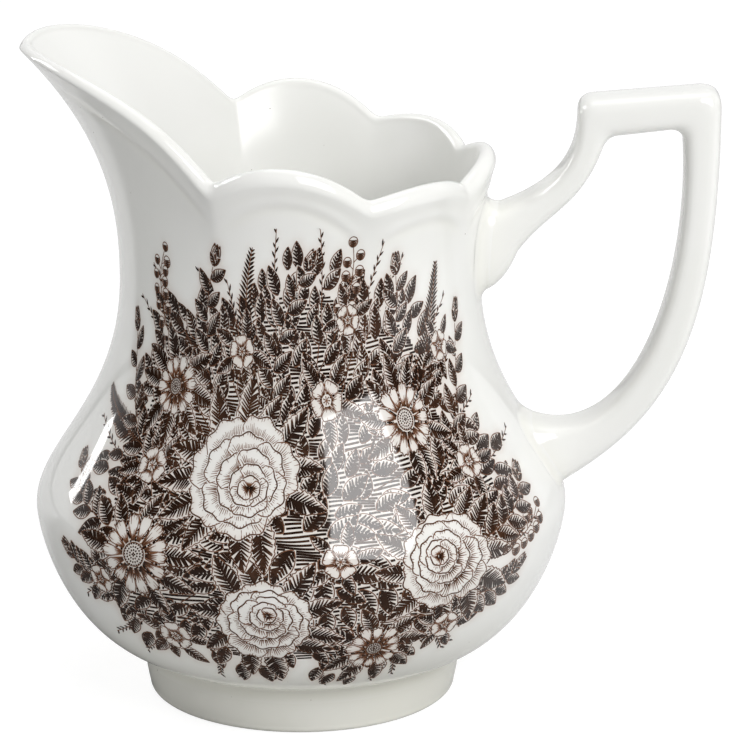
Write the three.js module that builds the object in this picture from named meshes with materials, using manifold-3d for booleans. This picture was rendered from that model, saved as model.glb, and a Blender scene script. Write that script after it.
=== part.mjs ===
// A glazed earthenware creamer: a round-bellied body with a scalloped rim and a broad upswept lip,
// standing on a foot ring, with an angular strap handle joined on by two seams of slip.
// Millimetres, +Z up. The lip points along -X and the handle along +X.
import * as THREE from 'three';
import { mergeVertices } from 'three/addons/utils/BufferGeometryUtils.js';
import Module from 'manifold-3d';

const wasm = await Module();
wasm.setup();

// Clearances between pieces and the seams of slip that fill the joints
const CLEARANCE = 0.3;
const HANDLE_SLIP = 0.8;
const HANDLE_SLIP_BEAD = 0.7;
const FOOT_SLIP = 0.6;
const FOOT_SLIP_BEAD = 0.4;

// Foot ring: its height runs from the table to the seam under the belly
const FOOT_HEIGHT = 6.0;
const FOOT_TOP_RADIUS = 26.5;
const FOOT_BULGE = 1.5;
const FOOT_TAPER = 0.7;
const FOOT_TOE = 1.2;
const FOOT_RING_WIDTH = 4.2;
const FOOT_FLAT_WIDTH = 2.4;

// Body walls
const WALL = 3.0;
const FLOOR = 3.6;
const LIP_WALL = 3.0;
const LIP_ROUND = 1.6;

// Belly and neck: radii from the body's axis, heights from the table
const BELLY_RADIUS = 46.75;
const BELLY_HEIGHT = 34.7;
const NECK_RADIUS = 31.45;
const NECK_HEIGHT = 75.5;
const UNDERSIDE_RUN = 15.9;
const UNDERSIDE_RISE = 4.6;
const BELLY_LOWER_PULL = 4.7;
const BELLY_UPPER_PULL = 8.5;
const NECK_PULL = 22.4;
const RIM_FLARE = 2.4;

// Rim: the three notches on each side, by angle from the handle, with the crown's radius and height
const BACK_NOTCH_ANGLE = 26.3;
const BACK_NOTCH_RADIUS = 31.3;
const BACK_NOTCH_HEIGHT = 94.9;
const SIDE_NOTCH_ANGLE = 68.8;
const SIDE_NOTCH_RADIUS = 33.5;
const SIDE_NOTCH_HEIGHT = 96.0;
const LIP_NOTCH_ANGLE = 114.6;
const LIP_NOTCH_RADIUS = 33.8;
const LIP_NOTCH_HEIGHT = 99.2;
const BACK_SCALLOP_RISE = 3.2;
const SMALL_SCALLOP_RISE = 2.2;
const LARGE_SCALLOP_RISE = 4.75;
const SCALLOP_SWELL = 1.1;

// Pouring lip: reach from the axis to its crown, height of its two sides and the dip between them
const LIP_REACH = 46.4;
const LIP_HEIGHT = 117.7;
const LIP_DIP = 1.8;
const LIP_BREADTH = 2.1;
const LIP_SWEEP = 2.25;
const LIP_DIP_FOCUS = 4;

// Handle outline in the plane of the axis: reaches from the axis, heights from the table
const HANDLE_WIDTH = 10.5;
const HANDLE_EDGE = 2.0;
const HANDLE_REACH = 72.6;
const HANDLE_TOP = 109.3;
const HANDLE_CORNER = 3.8;
const GRIP_THICKNESS = 6.5;
const GRIP_BOW = 1.8;
const GRIP_DROP = 35.2;
const GRIP_INNER_DROP = 24.6;
const GRIP_TURN = 4.7;
const GRIP_TURN_RISE = 1.6;
const GRIP_INNER_TURN = 7.7;
const GRIP_INNER_SAG = 9.0;
const BAR_LENGTH = 24.7;
const BAR_FALL = 2.1;
const BAR_THICKNESS = 7.4;
const BAR_TAPER = 1.0;
const KNEE_CORNER = 2.8;
const KNEE_LENGTH = 5.2;
const INNER_CORNER = 2.4;
const UPPER_ROOT_TOP = 88.0;
const UPPER_ROOT_SPREAD = 14.9;
const UPPER_ROOT_REACH = 3.2;
const ARM_THICKNESS = 7.8;
const ARM_LEAN = 0.8;
const LOWER_ROOT_TOP = 50.4;
const LOWER_ROOT_SPREAD = 11.4;
const ROOT_SINK = 8.0;
const ROOT_SPLAY_DOWN = 4.0;
const ROOT_SPLAY_UP = 2.0;
const ROOT_CURL = 0.7;

// Shares of the handle's arm, along and up it, where its curves are pulled
const ARM_TOP_RUN = 0.82;
const ARM_TOP_RISE = 0.24;
const KNEE_RISE = 0.59;
const ARM_UNDER_RUN = 0.73;
const ARM_UNDER_RISE = 0.42;
const ARM_HOLLOW_RUN = 0.38;

// Facets
const COLUMN_STEPS = [5, 7, 8, 12];
const BELLY_RINGS = 8;
const RIM_RINGS = 8;
const INNER_RINGS = 6;
const FOOT_SEGMENTS = 64;
const EDGE_RINGS = 3;
const CURVE_STEPS = 12;
const CORNER_STEPS = 4;
const MERGE_DISTANCE = 1e-4;

// Heights that follow from the foot and its seam
const FOOT_SLIP_BOTTOM = FOOT_HEIGHT + CLEARANCE;
const FOOT_SLIP_TOP = FOOT_SLIP_BOTTOM + FOOT_SLIP;
const SEAT_HEIGHT = FOOT_SLIP_TOP + CLEARANCE;
const INNER_FLOOR_HEIGHT = SEAT_HEIGHT + FLOOR;
const FOOT_INNER_RADIUS = FOOT_TOP_RADIUS - FOOT_RING_WIDTH;

const GLAZE = new THREE.MeshStandardMaterial({ color: 0xeeeee8, roughness: 0.12, metalness: 0 });
const FOOT_GLAZE = new THREE.MeshStandardMaterial({ color: 0xe8e7df, roughness: 0.16, metalness: 0 });
const SLIP_GLAZE = new THREE.MeshStandardMaterial({ color: 0xe6e5d6, roughness: 0.2, metalness: 0 });

function point(x, y) {
  return new THREE.Vector2(x, y);
}

function mix(a, b, share) {
  return a + (b - a) * share;
}

function ease(share) {
  return share * share * (3 - 2 * share);
}

// The rim's crown at an angle in degrees from the handle: a shallow arch between each two notches,
// and past the last notch the lip, which sweeps up and out to its tip.
function crownAt(angle) {
  const stops = [
    { angle: -BACK_NOTCH_ANGLE, radius: BACK_NOTCH_RADIUS, height: BACK_NOTCH_HEIGHT },
    { angle: BACK_NOTCH_ANGLE, radius: BACK_NOTCH_RADIUS, height: BACK_NOTCH_HEIGHT },
    { angle: SIDE_NOTCH_ANGLE, radius: SIDE_NOTCH_RADIUS, height: SIDE_NOTCH_HEIGHT },
    { angle: LIP_NOTCH_ANGLE, radius: LIP_NOTCH_RADIUS, height: LIP_NOTCH_HEIGHT },
  ];
  const rises = [BACK_SCALLOP_RISE, SMALL_SCALLOP_RISE, LARGE_SCALLOP_RISE];
  const index = stops.slice(1).findIndex((stop) => angle <= stop.angle);
  if (index < 0) {
    const side = (180 - angle) / (180 - LIP_NOTCH_ANGLE);
    const reach = Math.cos((side * Math.PI) / 2) ** LIP_BREADTH;
    const dip = LIP_DIP * (1 - side) ** LIP_DIP_FOCUS;
    return {
      radius: mix(LIP_NOTCH_RADIUS, LIP_REACH, reach),
      height: mix(LIP_HEIGHT, LIP_NOTCH_HEIGHT, side ** LIP_SWEEP) - dip,
    };
  }
  const [from, to] = [stops[index], stops[index + 1]];
  const share = (angle - from.angle) / (to.angle - from.angle);
  const arch = 1 - (2 * share - 1) ** 2;
  return {
    radius: mix(from.radius, to.radius, ease(share)) + SCALLOP_SWELL * arch,
    height: mix(from.height, to.height, share) + rises[index] * arch,
  };
}

// Angles of the columns of points: both sides alike, with a column in each notch
function columnAngles() {
  const stops = [0, BACK_NOTCH_ANGLE, SIDE_NOTCH_ANGLE, LIP_NOTCH_ANGLE, 180];
  const half = [];
  COLUMN_STEPS.forEach((steps, stretch) => {
    for (let step = 0; step < steps; step += 1) {
      half.push(mix(stops[stretch], stops[stretch + 1], step / steps));
    }
  });
  const otherSide = half.slice(1).reverse().map((angle) => -angle);
  return [...half, 180, ...otherSide];
}

const COLUMNS = columnAngles().map((angle) => ({
  turn: THREE.MathUtils.degToRad(angle),
  crown: crownAt(Math.abs(angle)),
}));

// One ring of points: place gives the radius and height for a column's crown
function ring(place) {
  return COLUMNS.map(({ turn, crown }) => {
    const { radius, height } = place(crown);
    return new THREE.Vector3(radius * Math.cos(turn), radius * Math.sin(turn), height);
  });
}

function roundRings(curve, count) {
  return curve.getPoints(count).map((spot) => ring(() => ({ radius: spot.x, height: spot.y })));
}

// Skin over a stack of rings, closed at both ends by a point on the axis
function skin(bottom, rings, top) {
  const around = COLUMNS.length;
  const positions = [bottom, ...rings.flat(), top].flatMap((spot) => spot.toArray());
  const last = 1 + rings.length * around;
  const faces = [];
  for (let column = 0; column < around; column += 1) {
    const next = (column + 1) % around;
    const end = last - around;
    faces.push(0, 1 + next, 1 + column);
    for (let level = 0; level + 1 < rings.length; level += 1) {
      const low = 1 + level * around;
      const high = low + around;
      faces.push(low + column, low + next, high + next);
      faces.push(low + column, high + next, high + column);
    }
    faces.push(end + column, end + next, last);
  }
  const geometry = new THREE.BufferGeometry();
  geometry.setAttribute('position', new THREE.Float32BufferAttribute(positions, 3));
  geometry.setIndex(faces);
  return geometry;
}

function onAxis(height) {
  return new THREE.Vector3(0, 0, height);
}

// Belly from a start on the underside to its widest, and on up to the neck
function lowerBelly(startRadius, startHeight, inset) {
  return new THREE.CubicBezierCurve(
    point(startRadius, startHeight),
    point(startRadius + UNDERSIDE_RUN, startHeight + UNDERSIDE_RISE),
    point(BELLY_RADIUS - inset, BELLY_HEIGHT - BELLY_LOWER_PULL),
    point(BELLY_RADIUS - inset, BELLY_HEIGHT),
  );
}

function upperBelly(inset) {
  return new THREE.CubicBezierCurve(
    point(BELLY_RADIUS - inset, BELLY_HEIGHT),
    point(BELLY_RADIUS - inset, BELLY_HEIGHT + BELLY_UPPER_PULL),
    point(NECK_RADIUS - inset, NECK_HEIGHT - NECK_PULL),
    point(NECK_RADIUS - inset, NECK_HEIGHT),
  );
}

// One level of the wall between the neck, at share 0, and the rim, at share 1
function wallRing(share, neckRadius, crownOffset) {
  return ring((crown) => ({
    radius: mix(neckRadius, crown.radius + crownOffset, share ** RIM_FLARE),
    height: mix(NECK_HEIGHT, crown.height - LIP_ROUND, share),
  }));
}

function levels(count) {
  return Array.from({ length: count }, (_, step) => (step + 1) / count);
}

// Outside of the body from its seat to the rim, grown outward by a given distance
function outsideRings(grow) {
  return [
    ...roundRings(lowerBelly(FOOT_TOP_RADIUS + grow, SEAT_HEIGHT, -grow), BELLY_RINGS),
    ...roundRings(upperBelly(-grow), BELLY_RINGS).slice(1),
    ...levels(RIM_RINGS).map((share) => wallRing(share, NECK_RADIUS + grow, LIP_WALL / 2 + grow)),
  ];
}

function crownRings() {
  const quarters = [1, 2, 3].map((step) => (step * Math.PI) / 4);
  return quarters.map((turn) => ring((crown) => ({
    radius: crown.radius + (LIP_WALL / 2) * Math.cos(turn),
    height: crown.height - LIP_ROUND * (1 - Math.sin(turn)),
  })));
}

function insideRings() {
  const down = levels(INNER_RINGS).reverse();
  const floorRadius = FOOT_TOP_RADIUS - WALL;
  return [
    ...down.map((share) => wallRing(share, NECK_RADIUS - WALL, -LIP_WALL / 2)),
    ...roundRings(upperBelly(WALL), INNER_RINGS).reverse(),
    ...roundRings(lowerBelly(floorRadius, INNER_FLOOR_HEIGHT, WALL), INNER_RINGS).reverse().slice(1),
  ];
}

function bodyGeometry() {
  const rings = [...outsideRings(0), ...crownRings(), ...insideRings()];
  return skin(onAxis(SEAT_HEIGHT), rings, onAxis(INNER_FLOOR_HEIGHT));
}

// The body's outside as a filled block, grown by a given distance, to cut the joints with
function bodyBlock(grow) {
  const rings = outsideRings(grow);
  return solid(skin(onAxis(SEAT_HEIGHT), rings, onAxis(NECK_HEIGHT)));
}

// Joins and cuts
function solid(geometry) {
  const bare = geometry.clone();
  bare.deleteAttribute('normal');
  bare.deleteAttribute('uv');
  const merged = mergeVertices(bare, MERGE_DISTANCE);
  const vertProperties = new Float32Array(merged.attributes.position.array);
  const triVerts = new Uint32Array(merged.index.array);
  return new wasm.Manifold(new wasm.Mesh({ numProp: 3, vertProperties, triVerts }));
}

function geometryOf(manifold) {
  const { vertProperties, triVerts } = manifold.getMesh();
  const geometry = new THREE.BufferGeometry();
  geometry.setAttribute('position', new THREE.BufferAttribute(new Float32Array(vertProperties), 3));
  geometry.setIndex(new THREE.BufferAttribute(new Uint32Array(triVerts), 1));
  return geometry;
}

// Foot ring: a bulging outside, a rounded toe, a flat to stand on and a recess inside
function footProfile() {
  const bulgeRadius = FOOT_TOP_RADIUS + FOOT_BULGE;
  const ankleRadius = bulgeRadius - FOOT_TAPER;
  const toeRadius = ankleRadius - FOOT_TOE;
  const flatInside = toeRadius - FOOT_FLAT_WIDTH;
  const heel = FOOT_TOE / 2;
  const toe = new THREE.QuadraticBezierCurve(
    point(toeRadius, 0),
    point(ankleRadius, 0),
    point(ankleRadius, FOOT_TOE),
  );
  const outside = new THREE.CubicBezierCurve(
    point(ankleRadius, FOOT_TOE),
    point(bulgeRadius, (FOOT_TOE + FOOT_HEIGHT) / 2),
    point(bulgeRadius, FOOT_HEIGHT),
    point(FOOT_TOP_RADIUS, FOOT_HEIGHT),
  );
  return [
    point(FOOT_INNER_RADIUS, FOOT_HEIGHT),
    point(FOOT_INNER_RADIUS, heel),
    point(flatInside, 0),
    ...toe.getPoints(CORNER_STEPS),
    ...outside.getPoints(CORNER_STEPS + 2).slice(1),
    point(FOOT_INNER_RADIUS, FOOT_HEIGHT),
  ];
}

function turned(profile) {
  const geometry = new THREE.LatheGeometry(profile, FOOT_SEGMENTS);
  geometry.rotateX(Math.PI / 2);
  return geometryOf(solid(geometry));
}

function footSlipProfile() {
  const inside = FOOT_INNER_RADIUS;
  const outside = FOOT_TOP_RADIUS + FOOT_SLIP_BEAD;
  return [
    point(inside, FOOT_SLIP_BOTTOM),
    point(FOOT_TOP_RADIUS, FOOT_SLIP_BOTTOM),
    point(outside, (FOOT_SLIP_BOTTOM + FOOT_SLIP_TOP) / 2),
    point(FOOT_TOP_RADIUS, FOOT_SLIP_TOP),
    point(inside, FOOT_SLIP_TOP),
    point(inside, FOOT_SLIP_BOTTOM),
  ];
}

function cubic(from, leave, arrive, to) {
  return new THREE.CubicBezierCurve(from, leave, arrive, to).getPoints(CURVE_STEPS);
}

// A corner rounded off: from and to lie on its two sides
function corner(from, tip, to) {
  return new THREE.QuadraticBezierCurve(from, tip, to).getPoints(CORNER_STEPS);
}

// The handle's outer edge, from the upper root over the knee and the bar, and down the grip
function handleOuterEdge() {
  const kneeReach = HANDLE_REACH - BAR_LENGTH;
  const kneeTop = HANDLE_TOP - BAR_FALL;
  const slope = BAR_FALL / BAR_LENGTH;
  const rootReach = NECK_RADIUS + UPPER_ROOT_REACH;
  const kneeFoot = point(kneeReach, kneeTop - KNEE_CORNER);
  const gripTop = point(HANDLE_REACH, HANDLE_TOP - HANDLE_CORNER);
  const rootBottom = LOWER_ROOT_TOP - LOWER_ROOT_SPREAD;
  return [
    point(NECK_RADIUS - ROOT_SINK, UPPER_ROOT_TOP),
    ...cubic(
      point(rootReach, UPPER_ROOT_TOP),
      point(mix(rootReach, kneeReach, ARM_TOP_RUN), mix(UPPER_ROOT_TOP, kneeFoot.y, ARM_TOP_RISE)),
      point(kneeReach, mix(UPPER_ROOT_TOP, kneeFoot.y, KNEE_RISE)),
      kneeFoot,
    ),
    ...corner(
      kneeFoot,
      point(kneeReach, kneeTop),
      point(kneeReach + KNEE_CORNER, kneeTop + slope * KNEE_CORNER),
    ).slice(1),
    ...corner(
      point(HANDLE_REACH - HANDLE_CORNER, HANDLE_TOP - slope * HANDLE_CORNER),
      point(HANDLE_REACH, HANDLE_TOP),
      gripTop,
    ),
    ...cubic(
      gripTop,
      point(HANDLE_REACH, gripTop.y - GRIP_DROP),
      point(HANDLE_REACH - GRIP_TURN, LOWER_ROOT_TOP + GRIP_TURN_RISE),
      point(BELLY_RADIUS, rootBottom),
    ).slice(1),
    point(BELLY_RADIUS - ROOT_SINK, rootBottom - ROOT_SPLAY_DOWN),
  ];
}

// The inner edge, from the lower root up the grip, under the bar and back down to the upper root
function handleInnerEdge() {
  const gripReach = HANDLE_REACH - GRIP_THICKNESS;
  const barUnder = HANDLE_TOP - BAR_THICKNESS;
  const armReach = HANDLE_REACH - BAR_LENGTH + KNEE_LENGTH;
  const armUnder = barUnder - BAR_TAPER;
  const gripTop = point(gripReach, barUnder - INNER_CORNER);
  const armTop = point(armReach - ARM_LEAN, armUnder - INNER_CORNER);
  const rootReach = NECK_RADIUS + UPPER_ROOT_REACH;
  const rootBottom = UPPER_ROOT_TOP - UPPER_ROOT_SPREAD;
  const arm = point(rootReach + UPPER_ROOT_REACH, UPPER_ROOT_TOP - ARM_THICKNESS);
  const sunk = BELLY_RADIUS - ROOT_SINK;
  return [
    point(sunk - ROOT_SINK, LOWER_ROOT_TOP + ROOT_SPLAY_UP),
    ...cubic(
      point(sunk, LOWER_ROOT_TOP),
      point(gripReach - GRIP_INNER_TURN, LOWER_ROOT_TOP - GRIP_INNER_SAG),
      point(gripReach + GRIP_BOW, gripTop.y - GRIP_INNER_DROP),
      gripTop,
    ),
    ...corner(gripTop, point(gripReach, barUnder), point(gripReach - INNER_CORNER, barUnder)).slice(1),
    ...corner(point(armReach + INNER_CORNER, armUnder), point(armReach, armUnder), armTop),
    ...cubic(
      armTop,
      point(mix(arm.x, armTop.x, ARM_UNDER_RUN), mix(arm.y, armTop.y, ARM_UNDER_RISE)),
      point(mix(arm.x, armTop.x, ARM_HOLLOW_RUN), mix(arm.y, armTop.y, ARM_UNDER_RISE)),
      arm,
    ).slice(1),
    ...corner(
      arm,
      point(rootReach + ROOT_CURL, rootBottom + ROOT_CURL),
      point(NECK_RADIUS, rootBottom),
    ).slice(1),
    point(NECK_RADIUS - ROOT_SINK, rootBottom),
  ];
}

// A flat outline in the plane of the axis, given its width and rounded edges across that plane
function strap(outline, width, edge) {
  const geometry = new THREE.ExtrudeGeometry(new THREE.Shape(outline), {
    depth: width - 2 * edge,
    bevelSize: edge,
    bevelThickness: edge,
    bevelOffset: -edge,
    bevelSegments: EDGE_RINGS,
  });
  geometry.translate(0, 0, edge - width / 2);
  geometry.rotateX(Math.PI / 2);
  return geometry;
}

// A pad of slip that follows the body's outside, between two heights
function slipPad(bottom, top) {
  const half = HANDLE_WIDTH / 2 + HANDLE_SLIP_BEAD;
  const low = bottom - HANDLE_SLIP_BEAD;
  const high = top + HANDLE_SLIP_BEAD;
  const round = HANDLE_EDGE + HANDLE_SLIP_BEAD;
  const outline = [
    ...corner(point(-half + round, low), point(-half, low), point(-half, low + round)),
    ...corner(point(-half, high - round), point(-half, high), point(-half + round, high)),
    ...corner(point(half - round, high), point(half, high), point(half, high - round)),
    ...corner(point(half, low + round), point(half, low), point(half - round, low)),
  ];
  const depth = BELLY_RADIUS + ROOT_SINK;
  const geometry = new THREE.ExtrudeGeometry(new THREE.Shape(outline), { depth, bevelEnabled: false });
  geometry.rotateX(Math.PI / 2);
  geometry.rotateZ(Math.PI / 2);
  const shell = bodyBlock(CLEARANCE + HANDLE_SLIP).subtract(bodyBlock(CLEARANCE));
  return geometryOf(solid(geometry).intersect(shell));
}

function handleGeometry() {
  const outline = [...handleOuterEdge(), ...handleInnerEdge()];
  const whole = solid(strap(outline, HANDLE_WIDTH, HANDLE_EDGE));
  return geometryOf(whole.subtract(bodyBlock(2 * CLEARANCE + HANDLE_SLIP)));
}

function piece(name, geometry, material) {
  const mesh = new THREE.Mesh(geometry, material);
  mesh.name = name;
  geometry.computeVertexNormals();
  return mesh;
}

const creamer = new THREE.Group();
creamer.name = 'creamer';
creamer.add(piece('body', bodyGeometry(), GLAZE));
creamer.add(piece('foot_ring', turned(footProfile()), FOOT_GLAZE));
creamer.add(piece('foot_slip', turned(footSlipProfile()), SLIP_GLAZE));
creamer.add(piece('handle', handleGeometry(), GLAZE));
creamer.add(piece('upper_slip', slipPad(UPPER_ROOT_TOP - UPPER_ROOT_SPREAD, UPPER_ROOT_TOP), SLIP_GLAZE));
creamer.add(piece('lower_slip', slipPad(LOWER_ROOT_TOP - LOWER_ROOT_SPREAD, LOWER_ROOT_TOP), SLIP_GLAZE));

// The origin is under the middle of the whole length from the lip to the grip
creamer.position.x = (LIP_REACH + LIP_WALL / 2 - HANDLE_REACH) / 2;

export default creamer;
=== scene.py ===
"""A glazed earthenware creamer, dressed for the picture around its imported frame.

Sizes are in millimetres from the body's axis and are turned into metres, in the
frame's own axes, where each mesh is made.
"""
import logging
import math
import random
from dataclasses import dataclass, field
from enum import Enum
from typing import Any, Iterator, Sequence

import bmesh
import bpy
import numpy as np
from bpy.types import ID, Material, Node, NodeSocket, NodeTree, Object
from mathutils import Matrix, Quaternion, Vector


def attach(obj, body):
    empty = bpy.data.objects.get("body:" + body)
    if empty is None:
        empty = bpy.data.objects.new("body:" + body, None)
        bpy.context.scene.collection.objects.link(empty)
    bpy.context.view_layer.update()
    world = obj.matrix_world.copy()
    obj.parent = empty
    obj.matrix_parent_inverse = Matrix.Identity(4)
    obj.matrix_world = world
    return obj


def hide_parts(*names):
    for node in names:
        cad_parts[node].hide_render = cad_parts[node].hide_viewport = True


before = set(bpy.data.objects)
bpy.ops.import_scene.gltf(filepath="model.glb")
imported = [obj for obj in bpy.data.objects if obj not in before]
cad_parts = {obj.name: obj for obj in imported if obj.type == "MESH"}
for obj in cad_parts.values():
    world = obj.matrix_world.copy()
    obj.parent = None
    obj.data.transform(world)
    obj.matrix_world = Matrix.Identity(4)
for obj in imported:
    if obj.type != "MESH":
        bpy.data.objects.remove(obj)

LOG = logging.getLogger("creamer")

Array = np.ndarray

MM = 0.001
AXIS_X = -12.35
ROOT_BODY = "root"


class Slot(Enum):
    """The record's material slots."""

    GLAZE = "glaze"
    FOOT_GLAZE = "foot_glaze"
    SLIP_GLAZE = "slip_glaze"
    PRINT = "print"


class Layer(Enum):
    """The values that a mesh holds at its points, each from 0 to 1."""

    POOL = "pool"
    STAIN = "stain"
    INNER = "inner"
    LOAD = "load"


class Side(Enum):
    """The body's two printed sides, by the angle of each print's middle from the handle."""

    FRONT = -88.7
    BACK = 88.7


def mix(start: Any, end: Any, share: Any) -> Any:
    """Returns the value a given share of the way from start to end."""
    return start + (end - start) * share


def ease(share: Any) -> Any:
    """Returns a share from 0 to 1 with a soft start and end."""
    share = np.clip(share, 0.0, 1.0)
    return share * share * (3.0 - 2.0 * share)


def bell(distance: Any, width: Any) -> Any:
    """Returns a bell curve of height 1 over a distance, with a given half width."""
    return np.exp(-((distance / width) ** 2))


def bezier(points: Sequence[Sequence[float]], count: int) -> Array:
    """Samples a quadratic or cubic curve.

    Args:
        points: The three or four control points.
        count: The number of steps along the curve.

    Returns:
        The count + 1 points of the curve, one a row.
    """
    share = np.linspace(0.0, 1.0, count + 1)[:, None]
    rows = [np.asarray(point, dtype=float)[None, :] for point in points]
    while len(rows) > 1:
        rows = [mix(first, second, share) for first, second in zip(rows, rows[1:])]
    return rows[0]


def unit(vectors: Array) -> Array:
    """Returns vectors, one a row, at a length of 1."""
    return vectors / np.linalg.norm(vectors, axis=-1, keepdims=True)


def round_axis(radius: Any, turn: Any, height: Any) -> Array:
    """Returns points by their radius, their angle in radians and their height, one a row."""
    across, along = radius * np.cos(turn), radius * np.sin(turn)
    return np.stack(np.broadcast_arrays(across, along, height), axis=-1)


def run_lengths(points: Array) -> Array:
    """Returns how far along a path each of its points lies."""
    steps = np.linalg.norm(np.diff(points, axis=0), axis=1)
    return np.concatenate([[0.0], np.cumsum(steps)])


def even_path(points: Array, count: int) -> Array:
    """Spaces points evenly along a path.

    Args:
        points: The path's points, one a row.
        count: The number of steps wanted.

    Returns:
        The count + 1 evenly spaced points.
    """
    length = run_lengths(points)
    wanted = np.linspace(0.0, length[-1], count + 1)
    return np.stack([np.interp(wanted, length, column) for column in points.T], axis=1)


class MeshMaker:
    """Makes Blender meshes from arrays of points in millimetres from the body's axis."""

    @staticmethod
    def metres(points: Array) -> Array:
        """Returns points in the frame's axes and in metres."""
        return (points + np.array([AXIS_X, 0.0, 0.0])) * MM

    @classmethod
    def piece(
        cls,
        name: str,
        points: Array,
        faces: Sequence[Sequence[int]],
        layers: dict[Layer, Array] | None = None,
        creases: Array | None = None,
        facing: Array | None = None,
    ) -> Object:
        """Makes one closed mesh with its faces turned outward.

        Args:
            name: The piece's name.
            points: Its points, one a row.
            faces: Its faces, as lists of point numbers.
            layers: The values that its finish reads at each point.
            creases: The number of the crease that each point is on, or -1. An edge between two
                points of one crease is shaded sharp.
            facing: The direction in which each point is shaded to face.

        Returns:
            The new object, linked to the scene.
        """
        mesh = bpy.data.meshes.new(name)
        mesh.from_pydata(cls.metres(points).tolist(), [], faces)
        shape = bmesh.new()
        shape.from_mesh(mesh)
        bmesh.ops.recalc_face_normals(shape, faces=shape.faces)
        shape.to_mesh(mesh)
        shape.free()
        mesh.polygons.foreach_set("use_smooth", [True] * len(mesh.polygons))
        for layer, values in (layers or {}).items():
            held = mesh.attributes.new(layer.value, "FLOAT", "POINT")
            held.data.foreach_set("value", np.clip(values, 0.0, 1.0).astype(np.float32))
        if creases is not None:
            ends = np.empty(2 * len(mesh.edges), dtype=np.int32)
            mesh.edges.foreach_get("vertices", ends)
            first, second = creases[ends.reshape(-1, 2)].T
            sharp = mesh.attributes.new("sharp_edge", "BOOLEAN", "EDGE")
            sharp.data.foreach_set("value", (first == second) & (first >= 0))
        mesh.update()
        if facing is not None:
            mesh.normals_split_custom_set_from_vertices(facing.tolist())
        made = bpy.data.objects.new(name, mesh)
        bpy.context.scene.collection.objects.link(made)
        return made

    @staticmethod
    def tube_faces(rings: int, around: int, closed: bool = False) -> list[tuple[int, ...]]:
        """Lists the four-sided faces between rings of points.

        Args:
            rings: The number of rings.
            around: The number of points in each ring.
            closed: Whether the last ring joins the first one.

        Returns:
            The faces, as point numbers.
        """
        faces = []
        for level in range(rings if closed else rings - 1):
            low = level * around
            high = ((level + 1) % rings) * around
            for column in range(around):
                after = (column + 1) % around
                faces.append((low + column, low + after, high + after, high + column))
        return faces

    @classmethod
    def capped_tube(cls, name: str, rings: Array, layers: dict[Layer, Array]) -> Object:
        """Makes a tube over rings of points, closed at each end by a fan to a middle point.

        Args:
            name: The piece's name.
            rings: The rings, as an array of ring, column and coordinate.
            layers: The values that its finish reads, by ring and column.

        Returns:
            The new object.
        """
        count, around, _ = rings.shape
        points = np.vstack([rings.reshape(-1, 3), rings[0].mean(axis=0), rings[-1].mean(axis=0)])
        faces = cls.tube_faces(count, around)
        first, last = count * around, count * around + 1
        top = (count - 1) * around
        for column in range(around):
            after = (column + 1) % around
            faces.append((first, after, column))
            faces.append((last, top + column, top + after))
        flat = {}
        for layer, values in layers.items():
            flat[layer] = np.concatenate([values.ravel(), [values[0].mean(), values[-1].mean()]])
        return cls.piece(name, points, faces, flat)

    @classmethod
    def hoop(
        cls, name: str, sections: Array, pool: Array, creases: Sequence[int] = ()
    ) -> Object:
        """Makes a closed hoop from closed sections that follow one another round it.

        Args:
            name: The piece's name.
            sections: The sections, as an array of section, corner and coordinate.
            pool: How thickly the glaze has gathered at each corner of a section.
            creases: The corners that are sharp creases round the hoop.

        Returns:
            The new object.
        """
        count, around, _ = sections.shape
        faces = cls.tube_faces(count, around, closed=True)
        marks = np.full(around, -1)
        marks[list(creases)] = list(creases)
        layers = {Layer.POOL: np.tile(pool, count)}
        return cls.piece(name, sections.reshape(-1, 3), faces, layers, np.tile(marks, count))


class Value:
    """A socket that takes part in Python expressions by adding Math nodes."""

    def __init__(self, shade: "Shade", socket: NodeSocket) -> None:
        """Wraps an output socket of one node tree."""
        self.shade = shade
        self.socket = socket

    def _math(self, operation: str, *terms: Any) -> "Value":
        """Returns the value of a Math node over the given terms."""
        made = self.shade.node("ShaderNodeMath", {"operation": operation}, dict(enumerate(terms)))
        return Value(self.shade, made.outputs[0])

    def __add__(self, other: Any) -> "Value":
        """Returns self + other."""
        return self._math("ADD", self, other)

    __radd__ = __add__

    def __sub__(self, other: Any) -> "Value":
        """Returns self - other."""
        return self._math("SUBTRACT", self, other)

    def __rsub__(self, other: Any) -> "Value":
        """Returns other - self."""
        return self._math("SUBTRACT", other, self)

    def __mul__(self, other: Any) -> "Value":
        """Returns self * other."""
        return self._math("MULTIPLY", self, other)

    __rmul__ = __mul__

    def __lt__(self, other: Any) -> "Value":
        """Returns 1 where self is less than other, else 0."""
        return self._math("LESS_THAN", self, other)

    def __gt__(self, other: Any) -> "Value":
        """Returns 1 where other is less than self, else 0."""
        return self._math("LESS_THAN", other, self)

    def __or__(self, other: Any) -> "Value":
        """Returns the larger of self and other."""
        return self._math("MAXIMUM", self, other)

    __ror__ = __or__

    def between(self, low: float, high: float) -> "Value":
        """Returns self eased from 0 at low to 1 at high."""
        made = self.shade.node(
            "ShaderNodeMapRange",
            {"interpolation_type": "SMOOTHSTEP"},
            {"Value": self, "From Min": low, "From Max": high, "To Min": 0.0, "To Max": 1.0},
        )
        return Value(self.shade, made.outputs[0])


@dataclass(frozen=True)
class Cloud:
    """A cloudy pattern: its features to the metre, how fine and rough their detail is, and the
    levels at which it starts to show and shows in full.
    """

    scale: float
    detail: float
    start: float
    full: float
    roughness: float = 0.5


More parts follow.
